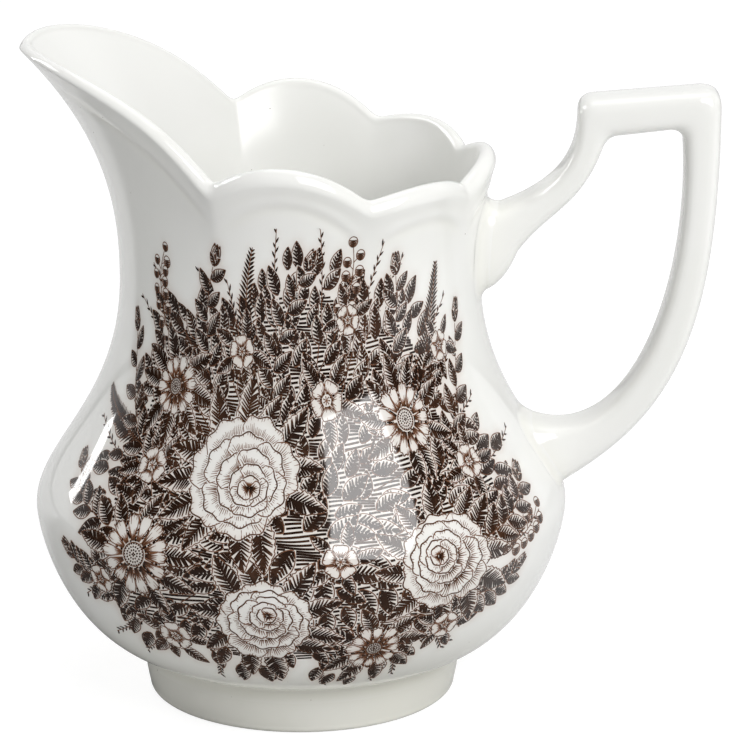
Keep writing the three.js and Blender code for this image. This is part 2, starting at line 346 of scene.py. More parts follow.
class Shade:
    """The node tree of one material or of the world."""

    def __init__(self, tree: NodeTree) -> None:
        """Empties a node tree and takes it over."""
        self.tree = tree
        tree.nodes.clear()

    @classmethod
    def material(cls, name: str) -> tuple[Material, "Shade"]:
        """Makes a new material.

        Args:
            name: The material's name.

        Returns:
            The material and its node tree.
        """
        made = bpy.data.materials.new(name)
        made.use_nodes = True
        return made, cls(made.node_tree)

    def node(
        self,
        kind: str,
        settings: dict[str, Any] | None = None,
        sockets: dict[str | int, Any] | None = None,
    ) -> Node:
        """Adds one node.

        Args:
            kind: The node's type.
            settings: Its properties, which are set first.
            sockets: Its inputs by number, identifier or name, each a value or a link.

        Returns:
            The new node.
        """
        made = self.tree.nodes.new(kind)
        for key, value in (settings or {}).items():
            setattr(made, key, value)
        for key, value in (sockets or {}).items():
            socket = self._input(made, key)
            if isinstance(value, Value):
                value = value.socket
            if isinstance(value, NodeSocket):
                self.tree.links.new(value, socket)
            else:
                socket.default_value = value
        return made

    @staticmethod
    def _input(made: Node, key: str | int) -> NodeSocket:
        """Finds one of a node's inputs.

        Args:
            made: The node.
            key: The input's number, identifier or name.

        Returns:
            The input.
        """
        if isinstance(key, int):
            return made.inputs[key]
        exact = [socket for socket in made.inputs if socket.identifier == key]
        return exact[0] if exact else made.inputs[key]

    def place(self) -> NodeSocket:
        """Returns the surface's coordinates, in metres in the frame's axes."""
        return self.node("ShaderNodeTexCoord").outputs["Object"]

    def layer(self, layer: Layer) -> Value:
        """Returns a value that the mesh holds at its points, or 0 where it holds none."""
        made = self.node("ShaderNodeAttribute", {"attribute_name": layer.value})
        return Value(self, made.outputs["Fac"])

    def parts(self, vector: NodeSocket) -> list[Value]:
        """Returns a vector's three parts."""
        made = self.node("ShaderNodeSeparateXYZ", None, {0: vector})
        return [Value(self, socket) for socket in made.outputs]

    def rays(self) -> tuple[Value, Value]:
        """Returns 1 for rays from the camera, and 1 for rays off or through a gloss, else 0."""
        path = self.node("ShaderNodeLightPath").outputs
        gloss = Value(self, path["Is Glossy Ray"]) | Value(self, path["Is Transmission Ray"])
        return Value(self, path["Is Camera Ray"]), gloss

    def cloud(self, cloud: Cloud) -> Value:
        """Returns a cloudy pattern from 0 to 1."""
        noise = self.noise(cloud.scale, cloud.detail, cloud.roughness)
        return noise.between(cloud.start, cloud.full)

    def noise(self, scale: float, detail: float, roughness: float = 0.5) -> Value:
        """Returns a cloudy value about 0.5, with scale features to the metre."""
        made = self.node(
            "ShaderNodeTexNoise",
            {"noise_dimensions": "3D"},
            {"Vector": self.place(), "Scale": scale, "Detail": detail, "Roughness": roughness},
        )
        return Value(self, made.outputs[0])

    def cells(self, scale: float) -> Value:
        """Returns the distance to the nearest of scattered points, in cells."""
        made = self.node(
            "ShaderNodeTexVoronoi",
            {"feature": "F1"},
            {"Vector": self.place(), "Scale": scale, "Randomness": 1.0},
        )
        return Value(self, made.outputs["Distance"])

    def blend(self, factor: Any, first: Any, second: Any) -> NodeSocket:
        """Returns a colour between two, by a factor from 0 to 1."""
        made = self.node(
            "ShaderNodeMix",
            {"data_type": "RGBA", "blend_type": "MIX"},
            {"Factor_Float": factor, "A_Color": first, "B_Color": second},
        )
        return next(socket for socket in made.outputs if socket.identifier == "Result_Color")

    def bump(self, height: Value, strength: float, distance: float) -> NodeSocket:
        """Returns a normal bent by a height, which is distance metres deep."""
        made = self.node(
            "ShaderNodeBump",
            None,
            {"Height": height, "Strength": strength, "Distance": distance},
        )
        return made.outputs["Normal"]

    def shader(self, kind: str, sockets: dict[str | int, Any]) -> NodeSocket:
        """Returns the output of a shader node of a given type."""
        return self.node(kind, None, sockets).outputs[0]

    def surface(self, shader: NodeSocket) -> None:
        """Makes a shader the material's surface."""
        self.node("ShaderNodeOutputMaterial", None, {"Surface": shader})


def colour(red: float, green: float, blue: float) -> tuple[float, float, float, float]:
    """Returns a solid colour in linear light."""
    return (red, green, blue, 1.0)


@dataclass(frozen=True)
class Glaze:
    """A clear glossy glaze over pale clay, creamy where it has gathered."""

    name: str
    thin: tuple[float, ...] = colour(0.86, 0.86, 0.835)
    clouded: tuple[float, ...] = colour(0.84, 0.842, 0.81)
    gathered: tuple[float, ...] = colour(0.74, 0.73, 0.62)
    stained: tuple[float, ...] = colour(0.42, 0.24, 0.15)
    specked: tuple[float, ...] = colour(0.16, 0.12, 0.09)
    clouds: Cloud = Cloud(38.0, 4.0, 0.38, 0.68)
    cream: float = 0.875
    bleed: float = 0.26
    specks_to_metre: float = 420.0
    speck_size: float = 0.055
    speck_depth: float = 0.8
    speck_places: Cloud = Cloud(240.0, 0.0, 0.63, 0.69)
    sheen: float = 0.055
    dulled: float = 0.15
    smear: float = 0.035
    smears: Cloud = Cloud(95.0, 4.0, 0.45, 0.75, 0.6)
    index: float = 1.6
    ripples_to_metre: tuple[float, float] = (70.0, 420.0)
    fine_ripple: float = 0.12
    ripple: float = 0.00003
    ripple_strength: float = 0.6

    def tint(self, shade: Shade) -> NodeSocket:
        """Mixes the glaze's colour over the surface.

        Args:
            shade: The material's node tree.

        Returns:
            The colour.
        """
        tint = shade.blend(shade.cloud(self.clouds), self.thin, self.clouded)
        tint = shade.blend(shade.layer(Layer.POOL) * self.cream, tint, self.gathered)
        tint = shade.blend(shade.layer(Layer.STAIN) * self.bleed, tint, self.stained)
        speck = (shade.cells(self.specks_to_metre) < self.speck_size) * shade.cloud(self.speck_places)
        return shade.blend(speck * self.speck_depth, tint, self.specked)

    def material(self) -> Material:
        """Returns the glaze as a material."""
        made, shade = Shade.material(self.name)
        dull = shade.cloud(self.smears) * self.smear + shade.layer(Layer.INNER) * self.dulled
        broad, fine = self.ripples_to_metre
        ripple = shade.noise(broad, 2.0) + shade.noise(fine, 1.0) * self.fine_ripple
        shade.surface(shade.shader("ShaderNodeBsdfPrincipled", {
            "Base Color": self.tint(shade),
            "Roughness": dull + self.sheen,
            "IOR": self.index,
            "Normal": shade.bump(ripple, self.ripple_strength, self.ripple),
        }))
        return made


@dataclass(frozen=True)
class PrintInk:
    """Brown printing ink, darker where a line holds more of it, under the clear glaze."""

    name: str
    full: tuple[float, ...] = colour(0.020, 0.009, 0.005)
    scant: tuple[float, ...] = colour(0.24, 0.11, 0.06)
    worn: tuple[float, ...] = colour(0.12, 0.056, 0.031)
    load: tuple[float, float] = (0.2, 0.85)
    wear: Cloud = Cloud(260.0, 5.0, 0.45, 0.75, 0.65)
    wear_depth: float = 0.45
    wear_dulled: float = 0.04
    patches: Cloud = Cloud(60.0, 2.0, 0.45, 0.7)
    patch_depth: float = 0.2
    sheen: float = 0.055
    index: float = 1.6

    def material(self) -> Material:
        """Returns the ink as a material."""
        made, shade = Shade.material(self.name)
        wear = shade.cloud(self.wear)
        thinned = wear * self.wear_depth + shade.cloud(self.patches) * self.patch_depth
        load = shade.layer(Layer.LOAD).between(*self.load)
        tint = shade.blend(load, self.scant, self.full)
        shade.surface(shade.shader("ShaderNodeBsdfPrincipled", {
            "Base Color": shade.blend(thinned, tint, self.worn),
            "Roughness": wear * self.wear_dulled + self.sheen,
            "IOR": self.index,
        }))
        return made


@dataclass(frozen=True)
class FloorFinish:
    """A plain pale floor that shows white to the camera and keeps the object's shadow.

    The glaze mirrors it as a dark floor in front of the creamer and as a paler one behind it. The
    two meet along front_edge, in metres from the origin, on a line that slants by front_slant.
    """

    name: str = "pale_floor"
    paint: tuple[float, ...] = colour(0.74, 0.74, 0.74)
    seen: tuple[float, ...] = colour(0.28, 0.28, 0.28)
    dark: tuple[float, ...] = colour(0.12, 0.12, 0.12)
    glow: float = 0.84
    grains_to_metre: float = 30.0
    grain: float = 0.1
    mirrored: float = 0.25
    front_slant: float = 0.6
    front_edge: tuple[float, float] = (-0.035, 0.025)

    def material(self) -> Material:
        """Returns the floor's material."""
        made, shade = Shade.material(self.name)
        camera, gloss = shade.rays()
        along, across, _ = shade.parts(shade.place())
        behind = (along * self.front_slant + across).between(*self.front_edge)
        grain = shade.noise(self.grains_to_metre, 3.0) * self.grain
        diffuse = "ShaderNodeBsdfDiffuse"
        plain = shade.shader(diffuse, {"Color": shade.blend(grain, self.paint, self.seen)})
        dark = shade.shader(diffuse, {"Color": self.dark})
        white = shade.shader("ShaderNodeAddShader", {
            0: shade.shader(diffuse, {"Color": self.seen}),
            1: shade.shader("ShaderNodeEmission", {"Strength": self.glow}),
        })
        unseen = shade.shader("ShaderNodeMixShader", {0: gloss * (1.0 - behind), 1: plain, 2: dark})
        shown = camera | gloss * behind * self.mirrored
        shade.surface(shade.shader("ShaderNodeMixShader", {0: shown, 1: unseen, 2: white}))
        return made


@dataclass(frozen=True)
class Band:
    """A soft band along a line: its strength on the line, and its half width."""

    strength: float
    width: float

    def at(self, distance: Any) -> Any:
        """Returns the band's strength at a distance from its line."""
        return self.strength * bell(distance, self.width)


@dataclass(frozen=True)
class Notch:
    """A notch of the rim: its angle from the handle, and the crown's radius and height there."""

    angle: float
    radius: float
    height: float


@dataclass
class Body:
    """The cast shell: belly, neck, scalloped rim and pouring lip."""

    seat_radius: float = 26.5
    seat_height: float = 8.37
    underside: tuple[float, float] = (14.68, 1.7)
    belly: tuple[float, float] = (46.75, 34.7)
    belly_pulls: tuple[float, float] = (5.6, 8.5)
    neck: tuple[float, float] = (31.45, 75.5)
    neck_pull: float = 22.4
    rim_flare: float = 2.4
    wall: float = 3.0
    floor: float = 3.2
    lip_wall: float = 3.0
    lip_round: float = 1.6
    rim_roll: float = 2.7
    tip_wall: float = 2.0
    tip_round: float = 1.0
    tip_share: float = 0.95
    roll_start: float = 0.7
    back_notch: Notch = Notch(26.3, 31.3, 94.9)
    side_notch: Notch = Notch(67.9, 33.5, 96.0)
    lip_notch: Notch = Notch(112.9, 33.8, 98.8)
    rises: tuple[float, float, float] = (3.2, 2.2, 4.97)
    swell: float = 1.1
    lip_reach: float = 46.4
    lip_height: float = 118.1
    lip_dip: float = 1.8
    lip_breadth: float = 2.1
    lip_sweep: float = 2.17
    notch_softness: float = 2.1
    lip_notch_softness: float = 1.9
    lip_fold_softness: float = 3.4
    lip_notch_zone: float = 14.0
    softness_reach: float = 20.0
    upper_groove: Band = Band(-0.07, 1.2)
    upper_groove_drop: tuple[float, float] = (4.5, 0.8)
    lower_groove: Band = Band(-0.19, 1.4)
    lower_groove_drop: tuple[float, float] = (6.7, 2.5)
    bead: Band = Band(0.12, 1.2)
    bead_start: float = 0.8
    bead_end: float = 0.08
    fold_groove: Band = Band(-0.17, 1.2)
    fold_drop: tuple[float, float] = (4.4, 3.4)
    fold_ridge: Band = Band(0.12, 1.3)
    fold_ridge_gap: float = 1.5
    fold_start: tuple[float, float] = (0.12, 0.3)
    fold_end: float = 0.12
    seat_pool: float = 0.25
    belly_pools: tuple[Band, Band] = (Band(0.35, 1.8), Band(0.42, 9.0))
    groove_pool: float = 0.9
    groove_pool_most: float = 0.3
    inner_pool: Band = Band(0.35, 3.0)
    floor_pool: float = 0.3
    table_step: float = 0.25
    profile_steps: tuple[int, int] = (120, 160)
    seat_reaches: tuple[float, ...] = (0.1, 0.5, 0.85, 0.94, 0.985)
    belly_rings: tuple[int, int] = (44, 48)
    wall_rings: int = 72
    crown_rings: int = 18
    inner_wall_rings: int = 36
    inner_rings: tuple[int, int] = (30, 30)
    floor_reaches: tuple[float, ...] = (0.94, 0.8, 0.5, 0.1)
    columns: int = 320
    angle_table: Array = field(init=False)
    radius_table: Array = field(init=False)
    height_table: Array = field(init=False)
    profile: Array = field(init=False)

    def __post_init__(self) -> None:
        """Works out the crown's line and the belly's profile."""
        self.angle_table = np.arange(-180.0, 180.0, self.table_step)
        radius, height = self.sharp_crown(np.abs(self.angle_table))
        self.radius_table = self.softened(radius, self.lip_fold_softness)
        self.height_table = self.softened(height, self.lip_notch_softness)
        self.profile = self.belly_curve(0.0, self.profile_steps)

    def scallop(self, angle: Array) -> tuple[Array, Array]:
        """Finds where angles lie on the rim's scallops.

        Args:
            angle: Angles from the handle in degrees, from 0 to 180.

        Returns:
            The number of the scallop, 3 for the lip, and the share of the way along it.
        """
        notches = [notch.angle for notch in self.notches()]
        edges = [-self.back_notch.angle, *notches, 360.0 - self.lip_notch.angle]
        index = np.clip(np.searchsorted(edges, angle) - 1, 0, 3)
        starts, ends = np.array(edges[:-1]), np.array(edges[1:])
        return index, (angle - starts[index]) / (ends[index] - starts[index])

    def notches(self) -> tuple[Notch, Notch, Notch]:
        """Returns the three notches of one side, from the handle to the lip."""
        return self.back_notch, self.side_notch, self.lip_notch

    def sharp_crown(self, angle: Array) -> tuple[Array, Array]:
        """Finds the rim's crown, with sharp notches.

        Args:
            angle: Angles from the handle in degrees, from 0 to 180.

        Returns:
            The crown's radius and height at each angle.
        """
        index, share = self.scallop(angle)
        stops = [self.back_notch, *self.notches(), self.lip_notch]
        arch = 1.0 - (2.0 * share - 1.0) ** 2
        radii = np.array([stop.radius for stop in stops])
        heights = np.array([stop.height for stop in stops])
        rise = np.array([*self.rises, 0.0])[index]
        radius = mix(radii[index], radii[index + 1], ease(share)) + self.swell * arch
        height = mix(heights[index], heights[index + 1], share) + rise * arch
        side = self.lip_share(angle)
        reach = np.cos(side * math.pi / 2.0) ** self.lip_breadth
        lip_radius = mix(self.lip_notch.radius, self.lip_reach, reach)
        lip_height = mix(self.lip_height, self.lip_notch.height, side ** self.lip_sweep)
        lip_height = lip_height - self.lip_dip * (1.0 - side) ** 4
        on_lip = index == 3
        return np.where(on_lip, lip_radius, radius), np.where(on_lip, lip_height, height)

    def softened(self, values: Array, beside_lip: float) -> Array:
        """Rounds the sharp notches of values round the rim.

        Args:
            values: The values at the table's angles.
            beside_lip: How widely the notches beside the lip are rounded, in degrees.

        Returns:
            The rounded values.
        """
        count = round(self.softness_reach / self.table_step)
        reach = np.arange(-count, count + 1) * self.table_step
        padded = np.concatenate([values[-count:], values, values[:count]])
        smoothed = []
        for softness in (self.notch_softness, beside_lip):
            weights = bell(reach, softness)
            smoothed.append(np.convolve(padded, weights / weights.sum(), mode="valid"))
        beside = bell(np.abs(self.angle_table) - self.lip_notch.angle, self.lip_notch_zone)
        return mix(smoothed[0], smoothed[1], beside)

    def crown(self, turn: Array) -> tuple[Array, Array]:
        """Finds the rim's crown.

        Args:
            turn: Angles from the handle in radians.

        Returns:
            The crown's radius and height at each angle.
        """
        degrees = np.degrees(turn)
        radius = np.interp(degrees, self.angle_table, self.radius_table, period=360.0)
        height = np.interp(degrees, self.angle_table, self.height_table, period=360.0)
        return radius, height

    @staticmethod
    def from_handle(turn: Array) -> Array:
        """Returns angles in radians as degrees from the handle to either side, from 0 to 180."""
        return np.abs((np.degrees(turn) + 180.0) % 360.0 - 180.0)

    def lip_share(self, angle: Array) -> Array:
        """Returns how far angles in degrees lie from the lip's tip, from 0 to 1 at its notches."""
        return np.clip((180.0 - angle) / (180.0 - self.lip_notch.angle), 0.0, 1.0)

    def edge(self, turn: Array) -> tuple[Array, Array, Array]:
        """Finds how thick and round the rim is, which thins towards the lip's tip.

        Args:
            turn: Angles from the handle in radians.

        Returns:
            The wall's thickness at the rim, and the height of its rounding outside and inside.
        """
        side = self.lip_share(self.from_handle(turn))
        full = ease(side / self.tip_share)
        rounding = mix(self.tip_round, self.lip_round, full)
        rolled = ease((side - self.roll_start) / (1.0 - self.roll_start))
        roll = mix(rounding, self.rim_roll, rolled)
        return mix(self.tip_wall, self.lip_wall, full), roll, rounding

    def lower_belly(self, inset: float, count: int) -> Array:
        """Works out the belly's profile from its seat, or the inner floor, to its widest.

        Args:
            inset: How far it lies inside the outer profile.
            count: The number of steps along it.

        Returns:
            The profile's radii and heights, one point a row.
        """
        radius, height = self.seat_radius - inset, self.seat_height
        if inset > 0.0:
            height += self.floor
        widest = self.belly[0] - inset
        under = (radius + self.underside[0], height + self.underside[1])
        rising = (widest, self.belly[1] - self.belly_pulls[0])
        return bezier([(radius, height), under, rising, (widest, self.belly[1])], count)

    def upper_belly(self, inset: float, count: int) -> Array:
        """Returns the belly's profile from its widest to the neck."""
        widest, neck = self.belly[0] - inset, self.neck[0] - inset
        return bezier(
            [
                (widest, self.belly[1]),
                (widest, self.belly[1] + self.belly_pulls[1]),
                (neck, self.neck[1] - self.neck_pull),
                (neck, self.neck[1]),
            ],
            count,
        )

    def belly_curve(self, inset: float, counts: tuple[int, int]) -> Array:
        """Returns the belly's profile from its seat, or the inner floor, to the neck."""
        lower, upper = counts
        return np.vstack([self.lower_belly(inset, lower), self.upper_belly(inset, upper)[1:]])

    def relief(self, turn: Array, height: Array) -> Array:
        """Finds how far the mouldings under the rim stand out of the plain wall.

        Args:
            turn: Angles from the handle in radians.
            height: Heights above the table.

        Returns:
            The distance outward at each point.
        """
        angle = self.from_handle(turn)
        index, share = self.scallop(angle)
        arch = np.clip(1.0 - (2.0 * share - 1.0) ** 2, 0.0, 1.0)
        below = self.crown(turn)[1] - height
        drop, more = self.upper_groove_drop
        first = drop + more * (1.0 - arch)
        drop, more = self.lower_groove_drop
        second = drop + more * (1.0 - arch)
        beads = self.bead.at(below - mix(first, second, 0.5))
        beads = beads + self.upper_groove.at(below - first) + self.lower_groove.at(below - second)
        side = self.lip_share(angle)
        drop, more = self.fold_drop
        line = drop + more * side
        fold = self.fold_ridge.at(below - line + self.fold_ridge_gap) + self.fold_groove.at(below - line)
        start, grown = self.fold_start
        fold = fold * ease((side - start) / grown) * ease((1.0 - side) / self.fold_end)
        return np.where(index == 3, fold, beads * ease(arch / self.bead_start))

    def outside(self, turn: Array, height: Array) -> Array:
        """Finds the radius of the outside.

        Args:
            turn: Angles from the handle in radians.
            height: Heights between the seat and the rim.

        Returns:
            The radius at each point.
        """
        radius, top = self.crown(turn)
        share = (height - self.neck[1]) / (top - self.edge(turn)[1] - self.neck[1])
        share = np.clip(share, 0.0, 1.0)
        wall = mix(self.neck[0], radius + self.lip_wall / 2.0, share ** self.rim_flare)
        belly = np.interp(height, self.profile[:, 1], self.profile[:, 0])
        return np.where(height < self.neck[1], belly, wall) + self.relief(turn, height)

    def facing(self, turn: Array, height: Array) -> Array:
        """Finds the directions in which the outside faces.

        Args:
            turn: Angles from the handle in radians.
            height: Heights above the table.

        Returns:
            The unit vectors, one a row.
        """
        rise, swing = 0.02, 0.0005
        radius = self.outside(turn, height)
        slope = (self.outside(turn, height + rise) - self.outside(turn, height - rise)) / (2 * rise)
        slant = (self.outside(turn + swing, height) - radius) / (radius * swing)
        away = round_axis(1.0, turn, 0.0)
        along = round_axis(1.0, turn + math.pi / 2.0, 0.0)
        up = np.array([0.0, 0.0, 1.0])
        return unit(away - along * slant[..., None] - up * slope[..., None])

    def surface(self, turn: Array, height: Array, lift: float = 0.0) -> Array:
        """Returns points on the outside by angle in radians and height, lifted off it."""
        points = round_axis(self.outside(turn, height), turn, height)
        return points + self.facing(turn, height) * lift

    def rings(self) -> tuple[Array, Array]:
        """Works out the shell's rings, from under the seat, over the rim, to the inner floor.

        Returns:
            The rings as radius and height by ring and column, and the pooled glaze there.
        """
        turn = self.turns()
        radius, top = self.crown(turn)
        thick, roll, rounding = self.edge(turn)
        outer = radius + self.lip_wall / 2.0
        shoulder = top - roll
        lean = (outer - self.neck[0]) * self.rim_flare / (shoulder - self.neck[1])
        rows: list[Array] = []
        pools: list[Array] = []

        def add(radii: Any, heights: Any, pool: Any = 0.0) -> None:
            """Adds one ring."""
            rows.append(np.stack(np.broadcast_arrays(radii, heights, turn)[:2], axis=-1))
            pools.append(pool + 0.0 * turn)

        for reach in self.seat_reaches:
            add(self.seat_radius * reach, self.seat_height, self.seat_pool)
        for wide, high in self.belly_curve(0.0, self.belly_rings):
            add(wide, high, sum(pool.at(high - self.seat_height) for pool in self.belly_pools))
        for share in np.linspace(0.0, 1.0, self.wall_rings + 1)[1:]:
            height = mix(self.neck[1], shoulder, share)
            plain = mix(self.neck[0], outer, share ** self.rim_flare)
            relief = self.relief(turn, height)
            pool = np.clip(-relief * self.groove_pool, 0.0, self.groove_pool_most)
            add(plain + relief * ease((1.0 - share) / self.bead_end), height, pool)
        for bend in np.linspace(0.0, math.pi, self.crown_rings + 1)[1:-1]:
            up = math.sin(bend)
            drop = roll if bend < math.pi / 2.0 else rounding
            tuck = thick / 2.0 * (1.0 - math.cos(bend)) - lean * drop * up * (1.0 - up) ** 2
            add(outer - tuck, top - drop * (1.0 - up))
        for share in np.linspace(1.0, 0.0, self.inner_wall_rings + 1):
            wall = mix(self.neck[0] - self.wall, outer - thick, share ** self.rim_flare)
            add(wall, mix(self.neck[1], top - rounding, share))
        inside = self.belly_curve(self.wall, self.inner_rings)
        for wide, high in inside[::-1][1:]:
            add(wide, high, self.inner_pool.at(high - inside[0, 1]))
        for reach in self.floor_reaches:
            add(inside[0, 0] * reach, inside[0, 1], self.floor_pool)
        return np.array(rows), np.array(pools)

    def turns(self) -> Array:
        """Returns the angles of the columns of points, in radians."""
        return np.linspace(-math.pi, math.pi, self.columns, endpoint=False)

    def build(self, transfer: "Transfer") -> Object:
        """Makes the body's mesh.

        Args:
            transfer: The print, whose ink stains the glaze.

        Returns:
            The new object.
        """
        rows, pools = self.rings()
        turn = self.turns()[None, :] + 0.0 * rows[..., 0]
        points = round_axis(rows[..., 0], turn, rows[..., 1])
        inner = np.zeros_like(turn)
        inner[np.argmax(rows[..., 1].mean(axis=1)):] = 1.0
        stain = np.maximum(*(transfer.stain(turn, rows[..., 1], side) for side in Side))
        layers = {Layer.POOL: pools, Layer.INNER: inner, Layer.STAIN: stain * (1.0 - inner)}
        return MeshMaker.capped_tube("body_shell", points, layers)


@dataclass
class Foot:
    """The foot ring and the seam of glazed slip between it and the belly."""

    body: Body
    height: float = 7.2
    bulge_radius: float = 27.95
    ankle_radius: float = 27.2
    toe: float = 1.2
    flat_width: float = 2.4
    inner_radius: float = 22.3
    seam_reach: float = 29.6
    seam_drop: float = 5.6
    shoulder: float = 0.5
    segments: int = 192
    heel_height: float = 2.2
    heel_pulls: tuple[float, float] = (0.3, 0.5)
    recess_middle: float = 4.0
    pool: float = 0.15
    top_pool: Band = Band(0.25, 1.3)
    seam_gaps: tuple[float, float] = (0.02, 0.03)
    seam_hollow: float = 1.2
    seam_inside: float = 1.0
    seam_below: float = 0.8
    seam_above: float = 0.4
    seam_tuck: tuple[float, float] = (-1.2, 0.9)
    seam_pool: float = 0.1
    crease_pool: float = 0.35

    def turned(
        self, name: str, profile: Array, pool: Array, creases: Sequence[int] = ()
    ) -> Object:
        """Makes a ring by turning a closed profile of radii and heights about the axis.

        Args:
            name: The piece's name.
            profile: The profile's corners, one a row.
            pool: How thickly the glaze has gathered at each corner.
            creases: The corners that are sharp creases round the ring.

        Returns:
            The new object.
        """
        turn = np.linspace(0.0, math.tau, self.segments, endpoint=False)[:, None]
        points = round_axis(profile[None, :, 0], turn, profile[None, :, 1])
        return MeshMaker.hoop(name, points, pool, creases)

    def outer_curve(self) -> Array:
        """Returns the ring's outside, from the flat over the toe to its top."""
        toe_radius = self.ankle_radius - self.toe
        top = self.body.seat_radius
        toe = bezier([(toe_radius, 0.0), (self.ankle_radius, 0.0), (self.ankle_radius, self.toe)], 8)
        waist = (self.bulge_radius, (self.toe + self.height) / 2.0)
        side = bezier([toe[-1], waist, (self.bulge_radius, self.height - self.shoulder)], 18)
        brow = bezier([side[-1], (self.bulge_radius, self.height), (top, self.height)], 6)
        return np.vstack([toe, side[1:], brow[1:]])

    def build_ring(self) -> Object:
        """Makes the foot ring."""
        outer = self.outer_curve()
        flat = self.ankle_radius - self.toe - self.flat_width
        rise, reach = self.heel_pulls
        inner = self.inner_radius
        heel = bezier([(inner, self.heel_height), (inner, rise), (flat - reach, 0.0), (flat, 0.0)], 8)
        recess = [(inner, self.height), (inner, self.recess_middle)]
        profile = np.vstack([recess, heel, outer])
        pool = self.pool + self.top_pool.at(profile[:, 1] - self.height)
        return self.turned("foot", profile, pool)

    def build_seam(self) -> Object:
        """Makes the seam: a hollow fillet from the belly's underside down the ring's side."""
        profile = self.body.lower_belly(0.0, 200)
        under_belly, off_ring = self.seam_gaps
        at_belly = profile[np.argmax(profile[:, 0] > self.seam_reach)] - np.array([0.0, under_belly])
        outer = self.outer_curve()
        low = outer[outer[:, 1] > self.seam_drop][0] + np.array([off_ring, 0.0])
        meeting = np.interp(self.bulge_radius, profile[:, 0], profile[:, 1])
        crease = np.array([self.bulge_radius, meeting])
        fillet = bezier([at_belly, crease, crease - np.array([0.0, self.seam_hollow]), low], 20)
        inside = self.inner_radius + self.seam_inside
        low_end, high_end = self.height - self.seam_below, self.body.seat_height + self.seam_above
        tucked = at_belly + np.array(self.seam_tuck)
        corners = np.vstack([fillet, (inside, low_end), (inside, high_end), tucked])
        steps = len(fillet)
        pool = np.zeros(len(corners))
        gathered = np.sin(np.linspace(0.0, math.pi, steps))
        pool[:steps] = self.seam_pool + self.crease_pool * gathered
        return self.turned("foot_seam", corners, pool, (0, steps - 1))


